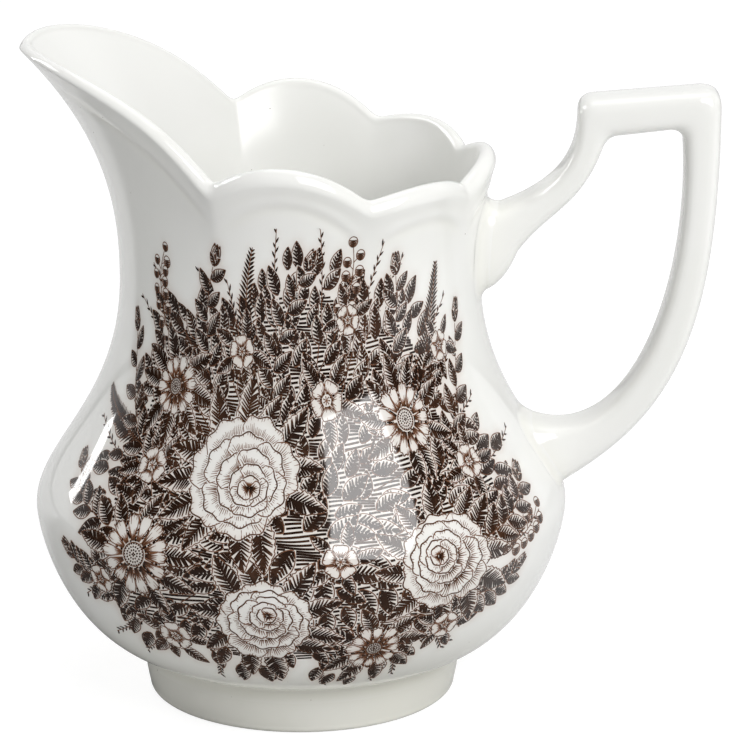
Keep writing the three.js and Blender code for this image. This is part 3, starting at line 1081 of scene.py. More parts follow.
@dataclass
class Handle:
    """The angular strap handle, and the fillets of slip where it meets the body."""

    body: Body
    width: float = 10.5
    squareness: float = 3.6
    reach: float = 72.6
    top: float = 109.3
    corner: float = 3.8
    grip: float = 6.5
    grip_bow: float = 1.8
    grip_drop: float = 35.2
    grip_inner_drop: float = 24.6
    grip_turn: tuple[float, float] = (4.7, 1.6)
    grip_inner_turn: tuple[float, float] = (7.7, 9.0)
    bar_length: float = 24.7
    bar_fall: float = 2.1
    bar: float = 7.4
    bar_taper: float = 1.0
    knee_corner: float = 2.8
    knee_length: float = 5.2
    inner_corner: float = 2.4
    arm_lean: float = 0.8
    upper_root: tuple[float, float] = (88.0, 14.9)
    root_reach: float = 3.2
    arm: float = 7.8
    lower_root: tuple[float, float] = (50.4, 11.4)
    root_sink: float = 8.0
    root_curl: float = 0.7
    embed: float = 1.3
    flare: float = 1.5
    flare_fade: float = 3.5
    arm_pulls: tuple[tuple[float, float], ...] = ((0.82, 0.24), (1.0, 0.59))
    arm_inner_pulls: tuple[tuple[float, float], ...] = ((0.38, 0.42), (0.73, 0.42))
    end_tilts: tuple[float, float] = (0.3, -0.6)
    upper_inner_tilt: float = -0.2
    lower_inner_end: tuple[float, float] = (-0.3, 0.2)
    wall_span: tuple[float, float] = (10.0, 95.0)
    wall_top: float = 97.0
    upper_fillet: float = 2.2
    lower_fillet: float = 1.5
    fillet_steps: int = 10
    skirt_lift: float = 0.02
    crease_lift: float = 0.05
    strap_lift: float = 0.03
    tuck_depth: float = 0.8
    tuck_in: float = 0.9
    tint: float = 0.3
    tint_gap: float = 1.0
    tint_fade: float = 2.6
    steps: tuple[int, ...] = (8, 26, 10, 12, 12, 60, 3)
    upper_rows: int = 40
    lower_rows: int = 49
    around: int = 40
    rings: Array = field(init=False)
    clear: Array = field(init=False)

    def __post_init__(self) -> None:
        """Works out the strap's rings."""
        self.rings = self.loft(*self.edges())
        turn = np.arctan2(self.rings[..., 1], self.rings[..., 0])
        height = np.clip(self.rings[..., 2], self.body.seat_height, self.wall_top)
        self.clear = np.hypot(self.rings[..., 0], self.rings[..., 1]) - self.body.outside(turn, height)

    def edges(self) -> tuple[Array, Array]:
        """Works out the strap's edges in the plane of the axis, point against point.

        Returns:
            The outer and the inner edge, each from the upper root round to the lower one.
        """
        neck, belly = self.body.neck[0], self.body.belly[0]
        upper, upper_spread = self.upper_root
        lower, lower_spread = self.lower_root
        slope = self.bar_fall / self.bar_length
        upper_tilt, lower_tilt = self.end_tilts

        root = np.array([neck + self.root_reach, upper])
        knee = np.array([self.reach - self.bar_length, self.top - self.bar_fall])
        knee_foot = knee - np.array([0.0, self.knee_corner])
        knee_end = knee + np.array([self.knee_corner, slope * self.knee_corner])
        bar_end = np.array([self.reach - self.corner, self.top - slope * self.corner])
        grip_top = np.array([self.reach, self.top - self.corner])
        grip_drop = np.array([self.reach, grip_top[1] - self.grip_drop])
        grip_turn = np.array([self.reach - self.grip_turn[0], lower + self.grip_turn[1]])
        heel = np.array([belly, lower - lower_spread])
        outer_parts = [
            np.array([(neck - self.embed, upper + upper_tilt), root]),
            bezier([root, *self.pulled(root, knee_foot, self.arm_pulls), knee_foot], 80),
            bezier([knee_foot, knee, knee_end], 30),
            np.array([knee_end, bar_end]),
            bezier([bar_end, (self.reach, self.top), grip_top], 30),
            bezier([grip_top, grip_drop, grip_turn, heel], 160),
            np.array([heel, heel + np.array([-self.embed, lower_tilt])]),
        ]

        bottom = upper - upper_spread
        inner_reach, under = self.reach - self.grip, self.top - self.bar
        arm_reach, arm_under = knee[0] + self.knee_length, under - self.bar_taper
        curl = (root[0] + self.root_curl, bottom + self.root_curl)
        arm = np.array([root[0] + self.root_reach, upper - self.arm])
        arm_top = np.array([arm_reach - self.arm_lean, arm_under - self.inner_corner])
        arm_end = (arm_reach + self.inner_corner, arm_under)
        bar_under = (inner_reach - self.inner_corner, under)
        inner_top = np.array([inner_reach, under - self.inner_corner])
        inner_drop = (inner_reach + self.grip_bow, inner_top[1] - self.grip_inner_drop)
        inner_turn = (inner_reach - self.grip_inner_turn[0], lower - self.grip_inner_turn[1])
        sunk = np.array([belly - self.root_sink, lower])
        inner_parts = [
            np.vstack([
                (neck - self.embed, bottom + self.upper_inner_tilt),
                bezier([(neck, bottom), curl, arm], 30),
            ]),
            bezier([arm, *self.pulled(arm, arm_top, self.arm_inner_pulls), arm_top], 80),
            bezier([arm_top, (arm_reach, arm_under), arm_end], 30),
            np.array([arm_end, bar_under]),
            bezier([bar_under, (inner_reach, under), inner_top], 30),
            bezier([inner_top, inner_drop, inner_turn, sunk], 200),
            np.array([sunk, sunk + np.array(self.lower_inner_end)]),
        ]
        return self.joined(outer_parts), self.joined(inner_parts)

    @staticmethod
    def pulled(start: Array, end: Array, pulls: Sequence[Any]) -> list[Array]:
        """Returns a curve's inner control points, by their shares of the way across and up."""
        return [mix(start, end, np.array(pull)) for pull in pulls]

    def joined(self, parts: Sequence[Array]) -> Array:
        """Joins the stretches of an edge, each spaced into its own number of steps."""
        rows = [even_path(points, count)[:-1] for points, count in zip(parts, self.steps)]
        return np.vstack([*rows, parts[-1][-1:]])

    def off_wall(self, path: Array) -> Array:
        """Returns how far points in the plane of the axis stand off the body's outside."""
        return path[:, 0] - self.body.outside(np.zeros(len(path)), np.clip(path[:, 1], *self.wall_span))

    def loft(self, outer: Array, inner: Array) -> Array:
        """Lofts soft rectangular sections between the strap's edges.

        Args:
            outer: The outer edge's points.
            inner: The inner edge's points.

        Returns:
            The rings of points, by section, place round it and coordinate.
        """
        sunk = np.minimum(self.off_wall(inner) + self.embed, 0.0)
        inner = np.column_stack([inner[:, 0] - sunk, inner[:, 1]])
        middle = (outer + inner) / 2.0
        half = (outer - inner) / 2.0
        turn = (np.arange(self.around) + 0.5) / self.around * math.tau
        power = 2.0 / self.squareness
        across = np.sign(np.cos(turn)) * np.abs(np.cos(turn)) ** power
        aside = np.sign(np.sin(turn)) * np.abs(np.sin(turn)) ** power
        flared = np.exp(-np.clip(self.off_wall(middle), 0.0, None) / self.flare_fade)
        breadth = self.width / 2.0 + self.flare * flared
        flat = middle[:, None, :] + half[:, None, :] * across[None, :, None]
        return np.stack([flat[..., 0], breadth[:, None] * aside[None, :], flat[..., 1]], axis=-1)

    def build_strap(self) -> Object:
        """Makes the strap itself."""
        pool = self.tint * np.exp(-np.clip(self.clear - self.tint_gap, 0.0, None) / self.tint_fade)
        return MeshMaker.capped_tube("handle_strap", self.rings, {Layer.POOL: pool})

    def crossing(self, rows: range, distance: float) -> Array:
        """Finds the line round the strap that stands a given distance off the body.

        Args:
            rows: The sections to search, from the root outward.
            distance: The distance off the body's outside.

        Returns:
            The line's points, one for each place round the section.
        """
        found = []
        for column in range(self.around):
            before = rows[0]
            for row in rows:
                if self.clear[row, column] >= distance:
                    break
                before = row
            low, high = self.clear[before, column], self.clear[row, column]
            share = 0.0 if high == low else np.clip((distance - low) / (high - low), 0.0, 1.0)
            found.append(mix(self.rings[before, column], self.rings[row, column], share))
        return np.array(found)

    def build_fillet(self, name: str, rows: range, size: float) -> Object:
        """Makes the fillet of slip round one root.

        Args:
            name: The piece's name.
            rows: The strap's sections from the root outward.
            size: How far the fillet runs up the strap and out over the body.

        Returns:
            The new object.
        """
        crease = self.crossing(rows, 0.0)
        strap = self.crossing(rows, size)
        outward = unit(crease - crease.mean(axis=0))
        spread = crease + outward * size
        skirt = self.body.surface(np.arctan2(spread[:, 1], spread[:, 0]), spread[:, 2], self.skirt_lift)
        turn = np.arctan2(crease[:, 1], crease[:, 0])
        crease = self.body.surface(turn, crease[:, 2], self.crease_lift)
        tucked = self.body.surface(turn, crease[:, 2], -self.tuck_depth) - outward * self.tuck_in
        strap = strap + self.strap_lift * unit(strap - strap.mean(axis=0))
        steps = np.linspace(0.0, 1.0, self.fillet_steps + 1)[None, :, None]
        first = mix(strap[:, None, :], crease[:, None, :], steps)
        second = mix(crease[:, None, :], skirt[:, None, :], steps)
        sections = np.concatenate([mix(first, second, steps), tucked[:, None, :]], axis=1)
        gathered = np.sin(np.linspace(0.0, math.pi, self.fillet_steps + 1))
        pool = np.append(self.tint * gathered, 0.0)
        return MeshMaker.hoop(name, sections, pool, (0, self.fillet_steps))

    def build_joints(self) -> tuple[Object, Object]:
        """Makes the fillets of slip round the upper and the lower root."""
        last = len(self.rings) - 1
        rows = range(last, last - self.lower_rows, -1)
        upper = self.build_fillet("upper_joint", range(self.upper_rows), self.upper_fillet)
        return upper, self.build_fillet("lower_joint", rows, self.lower_fillet)


@dataclass(frozen=True)
class Stroke:
    """A printed line: its points on the flat drawing, and its half width at each of them."""

    points: Array
    half: Array

    @classmethod
    def drawn(cls, points: Any, start: float, end: float, swell: float = 0.0) -> "Stroke":
        """Draws a line whose half width runs from start to end and swells between them.

        Args:
            points: The line's points.
            start: The half width at its first point.
            end: The half width at its last point.
            swell: What is added to the half width in the middle.

        Returns:
            The line.
        """
        points = np.asarray(points, dtype=float)
        share = np.linspace(0.0, 1.0, len(points))
        return cls(points, mix(start, end, share) + swell * np.sin(math.pi * share))

    def lengths(self) -> Array:
        """Returns how far along the line each of its points lies."""
        return run_lengths(self.points)

    def stepped(self, spacing: float) -> "Stroke":
        """Spaces the line's points evenly.

        Args:
            spacing: The longest step between points.

        Returns:
            The line with its new points.
        """
        length = self.lengths()
        count = max(2, math.ceil(length[-1] / spacing))
        wanted = np.linspace(0.0, length[-1], count + 1)
        x, y, half = (np.interp(wanted, length, row) for row in (*self.points.T, self.half))
        return Stroke(np.stack([x, y], axis=1), half)

    def thinned(self, slack: float, longest: float) -> "Stroke":
        """Leaves out points that the line hardly needs.

        Args:
            slack: How far the line and its edges may move.
            longest: The longest step that may be made.

        Returns:
            The line with fewer points.
        """
        rows = np.column_stack([self.points, self.half])
        kept = [0]
        for end in range(2, len(rows)):
            start = kept[-1]
            way = rows[end] - rows[start]
            share = np.linspace(0.0, 1.0, end - start + 1)[1:-1, None]
            off = np.abs(rows[start + 1:end] - (rows[start] + share * way)).max()
            if off > slack or math.hypot(way[0], way[1]) > longest:
                kept.append(end - 1)
        kept.append(len(rows) - 1)
        return Stroke(self.points[kept], self.half[kept])


@dataclass(frozen=True)
class Motif:
    """A drawn form: its lines, and the outline that hides what lies behind it."""

    strokes: tuple[Stroke, ...]
    shield: Array | None = None

    def placed(self, spot: Sequence[float], angle: float = 0.0) -> "Motif":
        """Turns the form and then moves it.

        Args:
            spot: Where its origin goes.
            angle: How far it is turned, in radians.

        Returns:
            The form in its place.
        """
        cos, sin = math.cos(angle), math.sin(angle)
        turn = np.array([[cos, sin], [-sin, cos]])
        place = np.asarray(spot, dtype=float)
        strokes = tuple(Stroke(line.points @ turn + place, line.half) for line in self.strokes)
        return Motif(strokes, None if self.shield is None else self.shield @ turn + place)


def polar(radius: Any, angle: Any) -> Array:
    """Returns flat points by their distance and angle from the origin."""
    radius, angle = np.broadcast_arrays(radius, angle)
    return np.stack([radius * np.cos(angle), radius * np.sin(angle)], axis=-1)


def circle(radius: float, steps: int) -> Array:
    """Returns the points of a closed circle about the origin."""
    return polar(radius, np.linspace(0.0, math.tau, steps + 1))


def point_at(path: Array, share: float) -> Array:
    """Returns the point a given share of the way through a path's points."""
    shares = np.linspace(0.0, 1.0, len(path))
    return np.array([np.interp(share, shares, column) for column in path.T])


def beside(path: Array) -> Array:
    """Returns the unit vectors that point to the left of a flat path, at each of its points."""
    way = unit(np.gradient(path, axis=0))
    return np.stack([-way[:, 1], way[:, 0]], axis=1)


def heading(path: Array, step: int) -> float:
    """Finds the direction in which a flat path leaves one of its points.

    Args:
        path: The path's points, one a row.
        step: The number of the point. The last one counts as the one before it.

    Returns:
        The direction in radians.
    """
    step = min(step, len(path) - 2)
    way = path[step + 1] - path[step]
    return math.atan2(way[1], way[0])


@dataclass(frozen=True)
class Hatching:
    """How half a leaf is hatched: the spacing of its lines, how far they reach to the edge, and
    their half widths at the spine and at the end, all but the reach as shares of the pitch.
    """

    space: float
    reach: float
    foot: float
    tip: float


@dataclass(frozen=True)
class Whorl:
    """A ring of a rose's petals: their number, and the shares of the rose's radius at which they
    start, show from under the nearer ones, and end.
    """

    count: int
    near: float
    seen: float
    far: float


@dataclass
class Draughtsman:
    """Draws the flowers, leaves and sprays of the print, in millimetres.

    A pair of numbers that is varied is a middle value and how far chance takes it to either side.
    """

    seed: int
    halo: float = 0.14
    fine: float = 0.03
    plain: float = 0.075
    bold: float = 0.18
    leaf_fullness: float = 0.85
    tooth_depth: float = 0.22
    light_half: Hatching = Hatching(1.2, 0.88, 0.37, 0.19)
    dark_half: Hatching = Hatching(1.0, 0.98, 0.45, 0.40)
    hatched: tuple[float, float] = (0.03, 0.93)
    hatch_lean: tuple[float, float] = (0.15, 0.03)
    hatch_reach: tuple[float, float] = (0.94, 0.06)
    whorls: tuple[Whorl, ...] = (
        Whorl(3, 0.0, 0.05, 0.20),
        Whorl(4, 0.05, 0.17, 0.36),
        Whorl(5, 0.12, 0.33, 0.55),
        Whorl(6, 0.22, 0.52, 0.78),
        Whorl(7, 0.30, 0.74, 1.0),
    )
    grain_rings: tuple[tuple[float, int], ...] = ((0.93, 24), (0.66, 17), (0.38, 10), (0.12, 4))
    chance: random.Random = field(init=False)

    def __post_init__(self) -> None:
        """Starts the drawing's small chance variations."""
        self.chance = random.Random(self.seed)

    def vary(self, middle: float, spread: float) -> float:
        """Returns a number near a middle value."""
        return middle + self.chance.uniform(-spread, spread)

    def turns(self, count: int, start: float, spread: float) -> Iterator[float]:
        """Yields directions spaced evenly round a circle, each varied by up to a given spread."""
        for step in range(count):
            yield self.vary(start + step * math.tau / count, spread)

    def leaf(
        self,
        length: float,
        breadth: float,
        bend: float = 0.0,
        teeth: int = 0,
        pitch: float = 0.46,
        weight: float = 1.0,
    ) -> Motif:
        """Draws a pointed leaf along +X, hatched dark on one half and lightly on the other.

        Args:
            length: The leaf's length.
            breadth: Its greatest breadth.
            bend: How far its tip curls aside, as a share of its length.
            teeth: The number of teeth along each edge.
            pitch: The distance between the lines of its darker half.
            weight: How heavy its lines are.

        Returns:
            The leaf.
        """
        share = np.linspace(0.0, 1.0, 31)
        spine = np.stack([length * share, bend * length * share ** 2], axis=1)
        aside = beside(spine)
        half = breadth / 2.0 * np.sin(math.pi * share ** self.leaf_fullness) ** self.leaf_fullness
        half = (half * (1.0 - self.tooth_depth * ((share * teeth) % 1.0)))[:, None]
        upper, lower = spine + aside * half, spine - aside * half
        strokes = [
            Stroke.drawn(upper, self.plain, self.plain, swell=0.02),
            Stroke.drawn(lower, self.plain, self.plain, swell=0.06),
        ]
        for edge, hatching in ((upper, self.light_half), (lower, self.dark_half)):
            space = hatching.space * pitch
            heavy = space * weight
            for place in np.arange(*self.hatched, space / length):
                far = min(place + self.vary(*self.hatch_lean), 0.99)
                root, rim = point_at(spine, place), point_at(edge, far)
                end = mix(root, rim, hatching.reach * self.vary(*self.hatch_reach))
                line = Stroke.drawn([root, end], hatching.foot * heavy, hatching.tip * heavy)
                strokes.append(line)
        grown = aside * (half + self.halo)
        return Motif(tuple(strokes), np.vstack([spine + grown, (spine - grown)[::-1]]))

    def petal(
        self, near: float, seen: float, far: float, spread: float, shade: float, notch: float = 0.0
    ) -> Motif:
        """Draws a petal along +X, hatched from its foot and lightly from its edge.

        Args:
            near: The distance of its foot from the flower's middle.
            seen: The distance from which no nearer petal covers it.
            far: The distance of its edge.
            spread: Half the angle that it takes up, in radians.
            shade: How far out the hatching runs, from 0 to 1.
            notch: The depth of the notch in its edge, as a share of its length.

        Returns:
            The petal.
        """
        wave_height, waves, wave_start = 0.035, 3.0, 0.8
        corner, corner_roundness, notch_width = 0.17, 2.6, 0.2
        line_gap, outermost, stray = 0.47, 0.92, 0.3
        short, edge_share = 0.08, 0.6
        middle_depth, side_depth = 0.25 + 0.35 * shade, 0.65 + 0.25 * shade
        across = np.linspace(-1.0, 1.0, 29)
        wave = wave_height * np.cos(across * waves * math.pi + self.vary(0.0, wave_start))
        corners = corner * np.abs(across) ** corner_roundness
        rim = far * (1.0 - corners + wave - notch * bell(across, notch_width))
        foot = 0.45 * spread
        edge = polar(rim, across * spread)
        left, right = polar(near, -foot), polar(near, foot)
        strokes = [Stroke.drawn(np.vstack([left, edge, right]), self.plain, self.plain, 0.05)]
        count = max(5, round(2.0 * spread * mix(seen, far, 0.6) / line_gap))
        for place in np.linspace(-outermost, outermost, count):
            place = self.vary(place, stray / count)
            top = float(np.interp(place, across, rim))
            depth = mix(middle_depth, side_depth, abs(place) ** 1.5)
            end = mix(seen, top, min(depth * self.vary(1.0, 0.3), 0.97))
            radii = np.linspace(near, end, 8)
            turns = place * mix(foot, spread, (radii - near) / (top - near))
            strokes.append(Stroke.drawn(polar(radii, turns), self.bold, self.fine, 0.05 * shade))
            if self.chance.random() < edge_share:
                radii = np.linspace(top * 0.985, mix(top, seen, self.vary(0.22, 0.1)), 4)
                strokes.append(Stroke.drawn(polar(radii, place * spread), short, self.fine))
        shield = np.vstack([left, edge * (1.0 + self.halo / far), right])
        return Motif(tuple(strokes), shield)

    @staticmethod
    def shadow(angle: float) -> float:
        """Returns how shaded a petal is that points in a direction in radians, from 0 to 1."""
        light = 0.9
        return 0.5 + 0.5 * math.cos(angle + light)

    def rose(self, radius: float, lean: float) -> list[Motif]:
        """Draws a full blossom from its heart outward.

        Args:
            radius: The blossom's radius.
            lean: The direction in which its heart is turned, in radians.

        Returns:
            Its petals, the nearest first.
        """
        twist, shift, overlap = 0.75, 0.30, 1.28
        motifs = []
        start = self.vary(math.pi, math.pi)
        for whorl in self.whorls:
            start += twist
            heart = polar(shift * radius * (1.0 - whorl.far), lean)
            spread = overlap * math.pi / whorl.count
            for angle in self.turns(whorl.count, start, 0.13):
                edge = whorl.far * radius * self.vary(1.0, 0.06)
                near, seen = whorl.near * radius, whorl.seen * radius
                petal = self.petal(near, seen, edge, spread, self.shadow(angle))
                motifs.append(petal.placed(heart, angle))
        return motifs

    def daisy(self, radius: float) -> list[Motif]:
        """Draws an open flower with narrow petals round a dark disc.

        Args:
            radius: The flower's radius.

        Returns:
            Its disc and petals, the nearest first.
        """
        disc, grain_half, gap = 0.29 * radius, 0.16, 0.86
        grains = []
        for share, number in self.grain_rings:
            for step in range(number):
                reach = disc * share + np.linspace(-grain_half, grain_half, 3)
                grain = polar(reach, step * math.tau / number + share)
                grains.append(Stroke.drawn(grain, 0.16, 0.12))
        rim = circle(disc, 32)
        grains.append(Stroke.drawn(rim, 0.1, 0.1))
        motifs = [Motif(tuple(grains), rim * 1.06)]
        start = self.vary(math.pi, math.pi)
        count = round(6.5 + radius)
        spread = gap * math.pi / count
        for angle in self.turns(count, start, 0.06):
            edge = radius * self.vary(0.97, 0.08)
            petal = self.petal(disc * 0.9, disc * 1.1, edge, spread, 0.6 * self.shadow(angle))
            motifs.append(petal.placed((0.0, 0.0), angle))
        return motifs

    def blossom(self, radius: float) -> list[Motif]:
        """Draws a small flower of five notched petals.

        Args:
            radius: The flower's radius.

        Returns:
            Its eye and petals, the nearest first.
        """
        eye, near, seen = 0.22 * radius, 0.16 * radius, 0.26 * radius
        spread, shade, notch, petals = 0.6, 0.1, 0.10, 5
        reach = np.linspace(0.0, eye, 3)
        rays = tuple(Stroke.drawn(polar(reach, step * 0.9), 0.06, 0.12) for step in range(7))
        motifs = [Motif(rays, circle(eye * 1.1, 12))]
        start = self.vary(math.pi, math.pi)
        for step in range(petals):
            petal = self.petal(near, seen, radius, spread, shade, notch)
            motifs.append(petal.placed((0.0, 0.0), start + step * math.tau / petals))
        return motifs

    def bud(self, length: float) -> list[Motif]:
        """Draws a closed bud along +X.

        Args:
            length: The bud's length.

        Returns:
            Its sepals and petals, the nearest first.
        """
        motifs = []
        for lean in (0.45, -0.45, 0.0):
            sepal = self.leaf(0.62 * length, 0.24 * length, 0.3 * lean)
            motifs.append(sepal.placed((0.0, 0.0), lean))
        for lean in (0.0, 0.17, -0.17):
            motifs.append(self.leaf(length, 0.42 * length).placed((0.1 * length, 0.0), lean))
        return motifs

    def leafy(self, path: Array) -> list[Motif]:
        """Draws a stem with a bud at its tip and leaves to either side.

        Args:
            path: The points of the stem.

        Returns:
            The bud, the leaves and the stem.
        """
        bud, lowest, taper, curl = 4.0, 6.4, 2.4, 0.12
        first, every = 4, 3
        steps = len(path) - 1
        motifs = [motif.placed(path[-1], heading(path, steps)) for motif in self.bud(bud)]
        for number, step in enumerate(range(first, steps - 1, every)):
            side = (-1.0) ** number
            length = self.vary(lowest - taper * step / steps, 0.5)
            angle = heading(path, step) + side * self.vary(0.82, 0.16)
            motifs.append(self.leaf(length, 0.5 * length, -curl * side).placed(path[step], angle))
        return [*motifs, Motif((Stroke.drawn(path, 0.22, 0.08),))]

    def fern(self, path: Array) -> list[Motif]:
        """Draws a fern frond with paired solid leaflets.

        Args:
            path: The points of its stalk.

        Returns:
            The frond.
        """
        shortest, taper, rise = 0.6, 0.7, 4.0
        lean_low, lean_loss, bow_share = 58.0, 18.0, 0.1
        strokes = [Stroke.drawn(path, self.bold, self.plain)]
        steps = len(path) - 1
        longest = 0.15 * strokes[0].lengths()[-1]
        for step in range(steps // 10, steps):
            share = step / steps
            size = shortest + longest * (1.0 - share) ** taper * min(1.0, 0.35 + share * rise)
            for side in (-1.0, 1.0):
                lean = heading(path, step) + side * math.radians(lean_low - lean_loss * share)
                tip = path[step] + polar(size * self.vary(1.0, 0.09), lean)
                bow = polar(bow_share * size, lean - side * math.pi / 2.0)
                leaflet = bezier([path[step], mix(path[step], tip, 0.5) + bow, tip], 6)
                swell = min(0.2, 0.05 + 0.1 * size)
                strokes.append(Stroke.drawn(leaflet, self.plain, self.fine, swell))
        return [Motif(tuple(strokes))]

    def berries(self, path: Array) -> list[Motif]:
        """Draws a spray of round berries on short stalks.

        Args:
            path: The points of its stalk.

        Returns:
            The berries and then the stalks.
        """
        first, count, stalk, splay = 0.3, 11, 2.0, math.radians(50.0)
        width, sag = 0.95, 0.16
        motifs, stalks = [], [Stroke.drawn(path, 0.13, self.plain)]
        steps = len(path) - 1
        across = np.linspace(-1.0, 1.0, 7)
        for number, step in enumerate(np.linspace(first * steps, steps, count).astype(int)):
            aside = 0.0 if step == steps else splay * (-1.0) ** number
            middle = path[step] + polar(stalk, heading(path, step) + aside)
            stalks.append(Stroke.drawn(np.linspace(path[step], middle, 4), 0.09, self.plain))
            radius = self.vary(0.95, 0.12)
            rim = middle + circle(radius, 18)
            strokes = [Stroke.drawn(rim, 0.09, 0.09)]
            for depth in np.arange(-0.8, 0.5, 0.28):
                wide = width * math.sqrt(1.0 - depth * depth)
                arc = np.stack([across * wide, depth - sag * (1.0 - across ** 2)], axis=1)
                strokes.append(Stroke.drawn(middle + radius * arc, self.plain, self.plain, 0.08))
            motifs.append(Motif(tuple(strokes), rim))
        return [*motifs, Motif(tuple(stalks))]

    def grass(self, path: Array) -> list[Motif]:
        """Draws a fine stem of grass with two rows of seeds towards its tip.

        Args:
            path: The points of its stem.

        Returns:
            The grass.
        """
        first, count, splay = 0.62, 15, 0.5
        strokes = [Stroke.drawn(path, 0.12, self.plain)]
        steps = len(path) - 1
        for number, step in enumerate(np.linspace(first * steps, steps - 1, count).astype(int)):
            lean = heading(path, step) + splay * (-1.0) ** number
            tip = path[step] + polar(self.vary(1.35, 0.2), lean)
            seed = np.linspace(path[step], tip, 4)
            strokes.append(Stroke.drawn(seed, self.plain, self.fine, 0.16))
        return [Motif(tuple(strokes))]


@dataclass
class Plate:
    """The engraved plate: takes forms from front to back, and each hides what comes after it."""

    spacing: float = 0.26
    slack: float = 0.014
    longest: float = 1.5
    strokes: list[Stroke] = field(default_factory=list)
    shields: list[Array] = field(default_factory=list)

    def engrave(self, motifs: Sequence[Motif]) -> None:
        """Cuts forms into the plate, the nearest first."""
        for motif in motifs:
            self.cut(motif.strokes)
            if motif.shield is not None:
                self.shields.append(motif.shield)

    @staticmethod
    def inside(points: Array, outline: Array) -> Array:
        """Tests points against an outline.

        Args:
            points: The points, one a row.
            outline: The outline's corners, one a row.

        Returns:
            For each point, whether it lies inside.
        """
        ahead = np.roll(outline, -1, axis=0)
        x, y = points[:, :1], points[:, 1:]
        crossed = (outline[:, 1] > y) != (ahead[:, 1] > y)
        rise = ahead[:, 1] - outline[:, 1]
        rise = np.where(rise == 0.0, 1e-9, rise)
        at = outline[:, 0] + (y - outline[:, 1]) * (ahead[:, 0] - outline[:, 0]) / rise
        return np.count_nonzero(crossed & (x < at), axis=1) % 2 == 1

    def cut(self, strokes: Sequence[Stroke]) -> None:
        """Cuts the stretches of lines that no nearer form hides.

        Args:
            strokes: The lines of one form.
        """
        lines = [line.stepped(self.spacing) for line in strokes]
        points = np.vstack([line.points for line in lines])
        seen = np.ones(len(points), dtype=bool)
        low, high = points.min(axis=0), points.max(axis=0)
        for outline in self.shields:
            least, most = outline.min(axis=0), outline.max(axis=0)
            if np.any(least > high) or np.any(most < low):
                continue
            near = np.flatnonzero(seen & np.all((points >= least) & (points <= most), axis=1))
            seen[near[self.inside(points[near], outline)]] = False
        start = 0
        for line in lines:
            shown = seen[start:start + len(line.points)]
            start += len(line.points)
            turns = np.flatnonzero(np.diff(np.concatenate([[0], shown.astype(int), [0]])))
            for first, last in turns.reshape(-1, 2):
                if last - first > 1:
                    stretch = Stroke(line.points[first:last], line.half[first:last])
                    self.strokes.append(stretch.thinned(self.slack, self.longest))


class Flower(Enum):
    """The kinds of flower in the print."""

    ROSE = "rose"
    DAISY = "daisy"
    BLOSSOM = "blossom"


@dataclass(frozen=True)
class Bloom:
    """A flower of the print: its kind, its place on the flat drawing, its radius and its lean."""

    kind: Flower
    spot: tuple[float, float]
    radius: float
    lean: float = 0.0


class Growth(Enum):
    """The kinds of spray that grow out from behind the flowers."""

    LEAVES = "leaves"
    BERRIES = "berries"
    FERN = "fern"


@dataclass(frozen=True)
class Spray:
    """A spray of the print: its kind, and the control points of its stem on the flat drawing."""

    kind: Growth
    stem: tuple[tuple[float, float], ...]


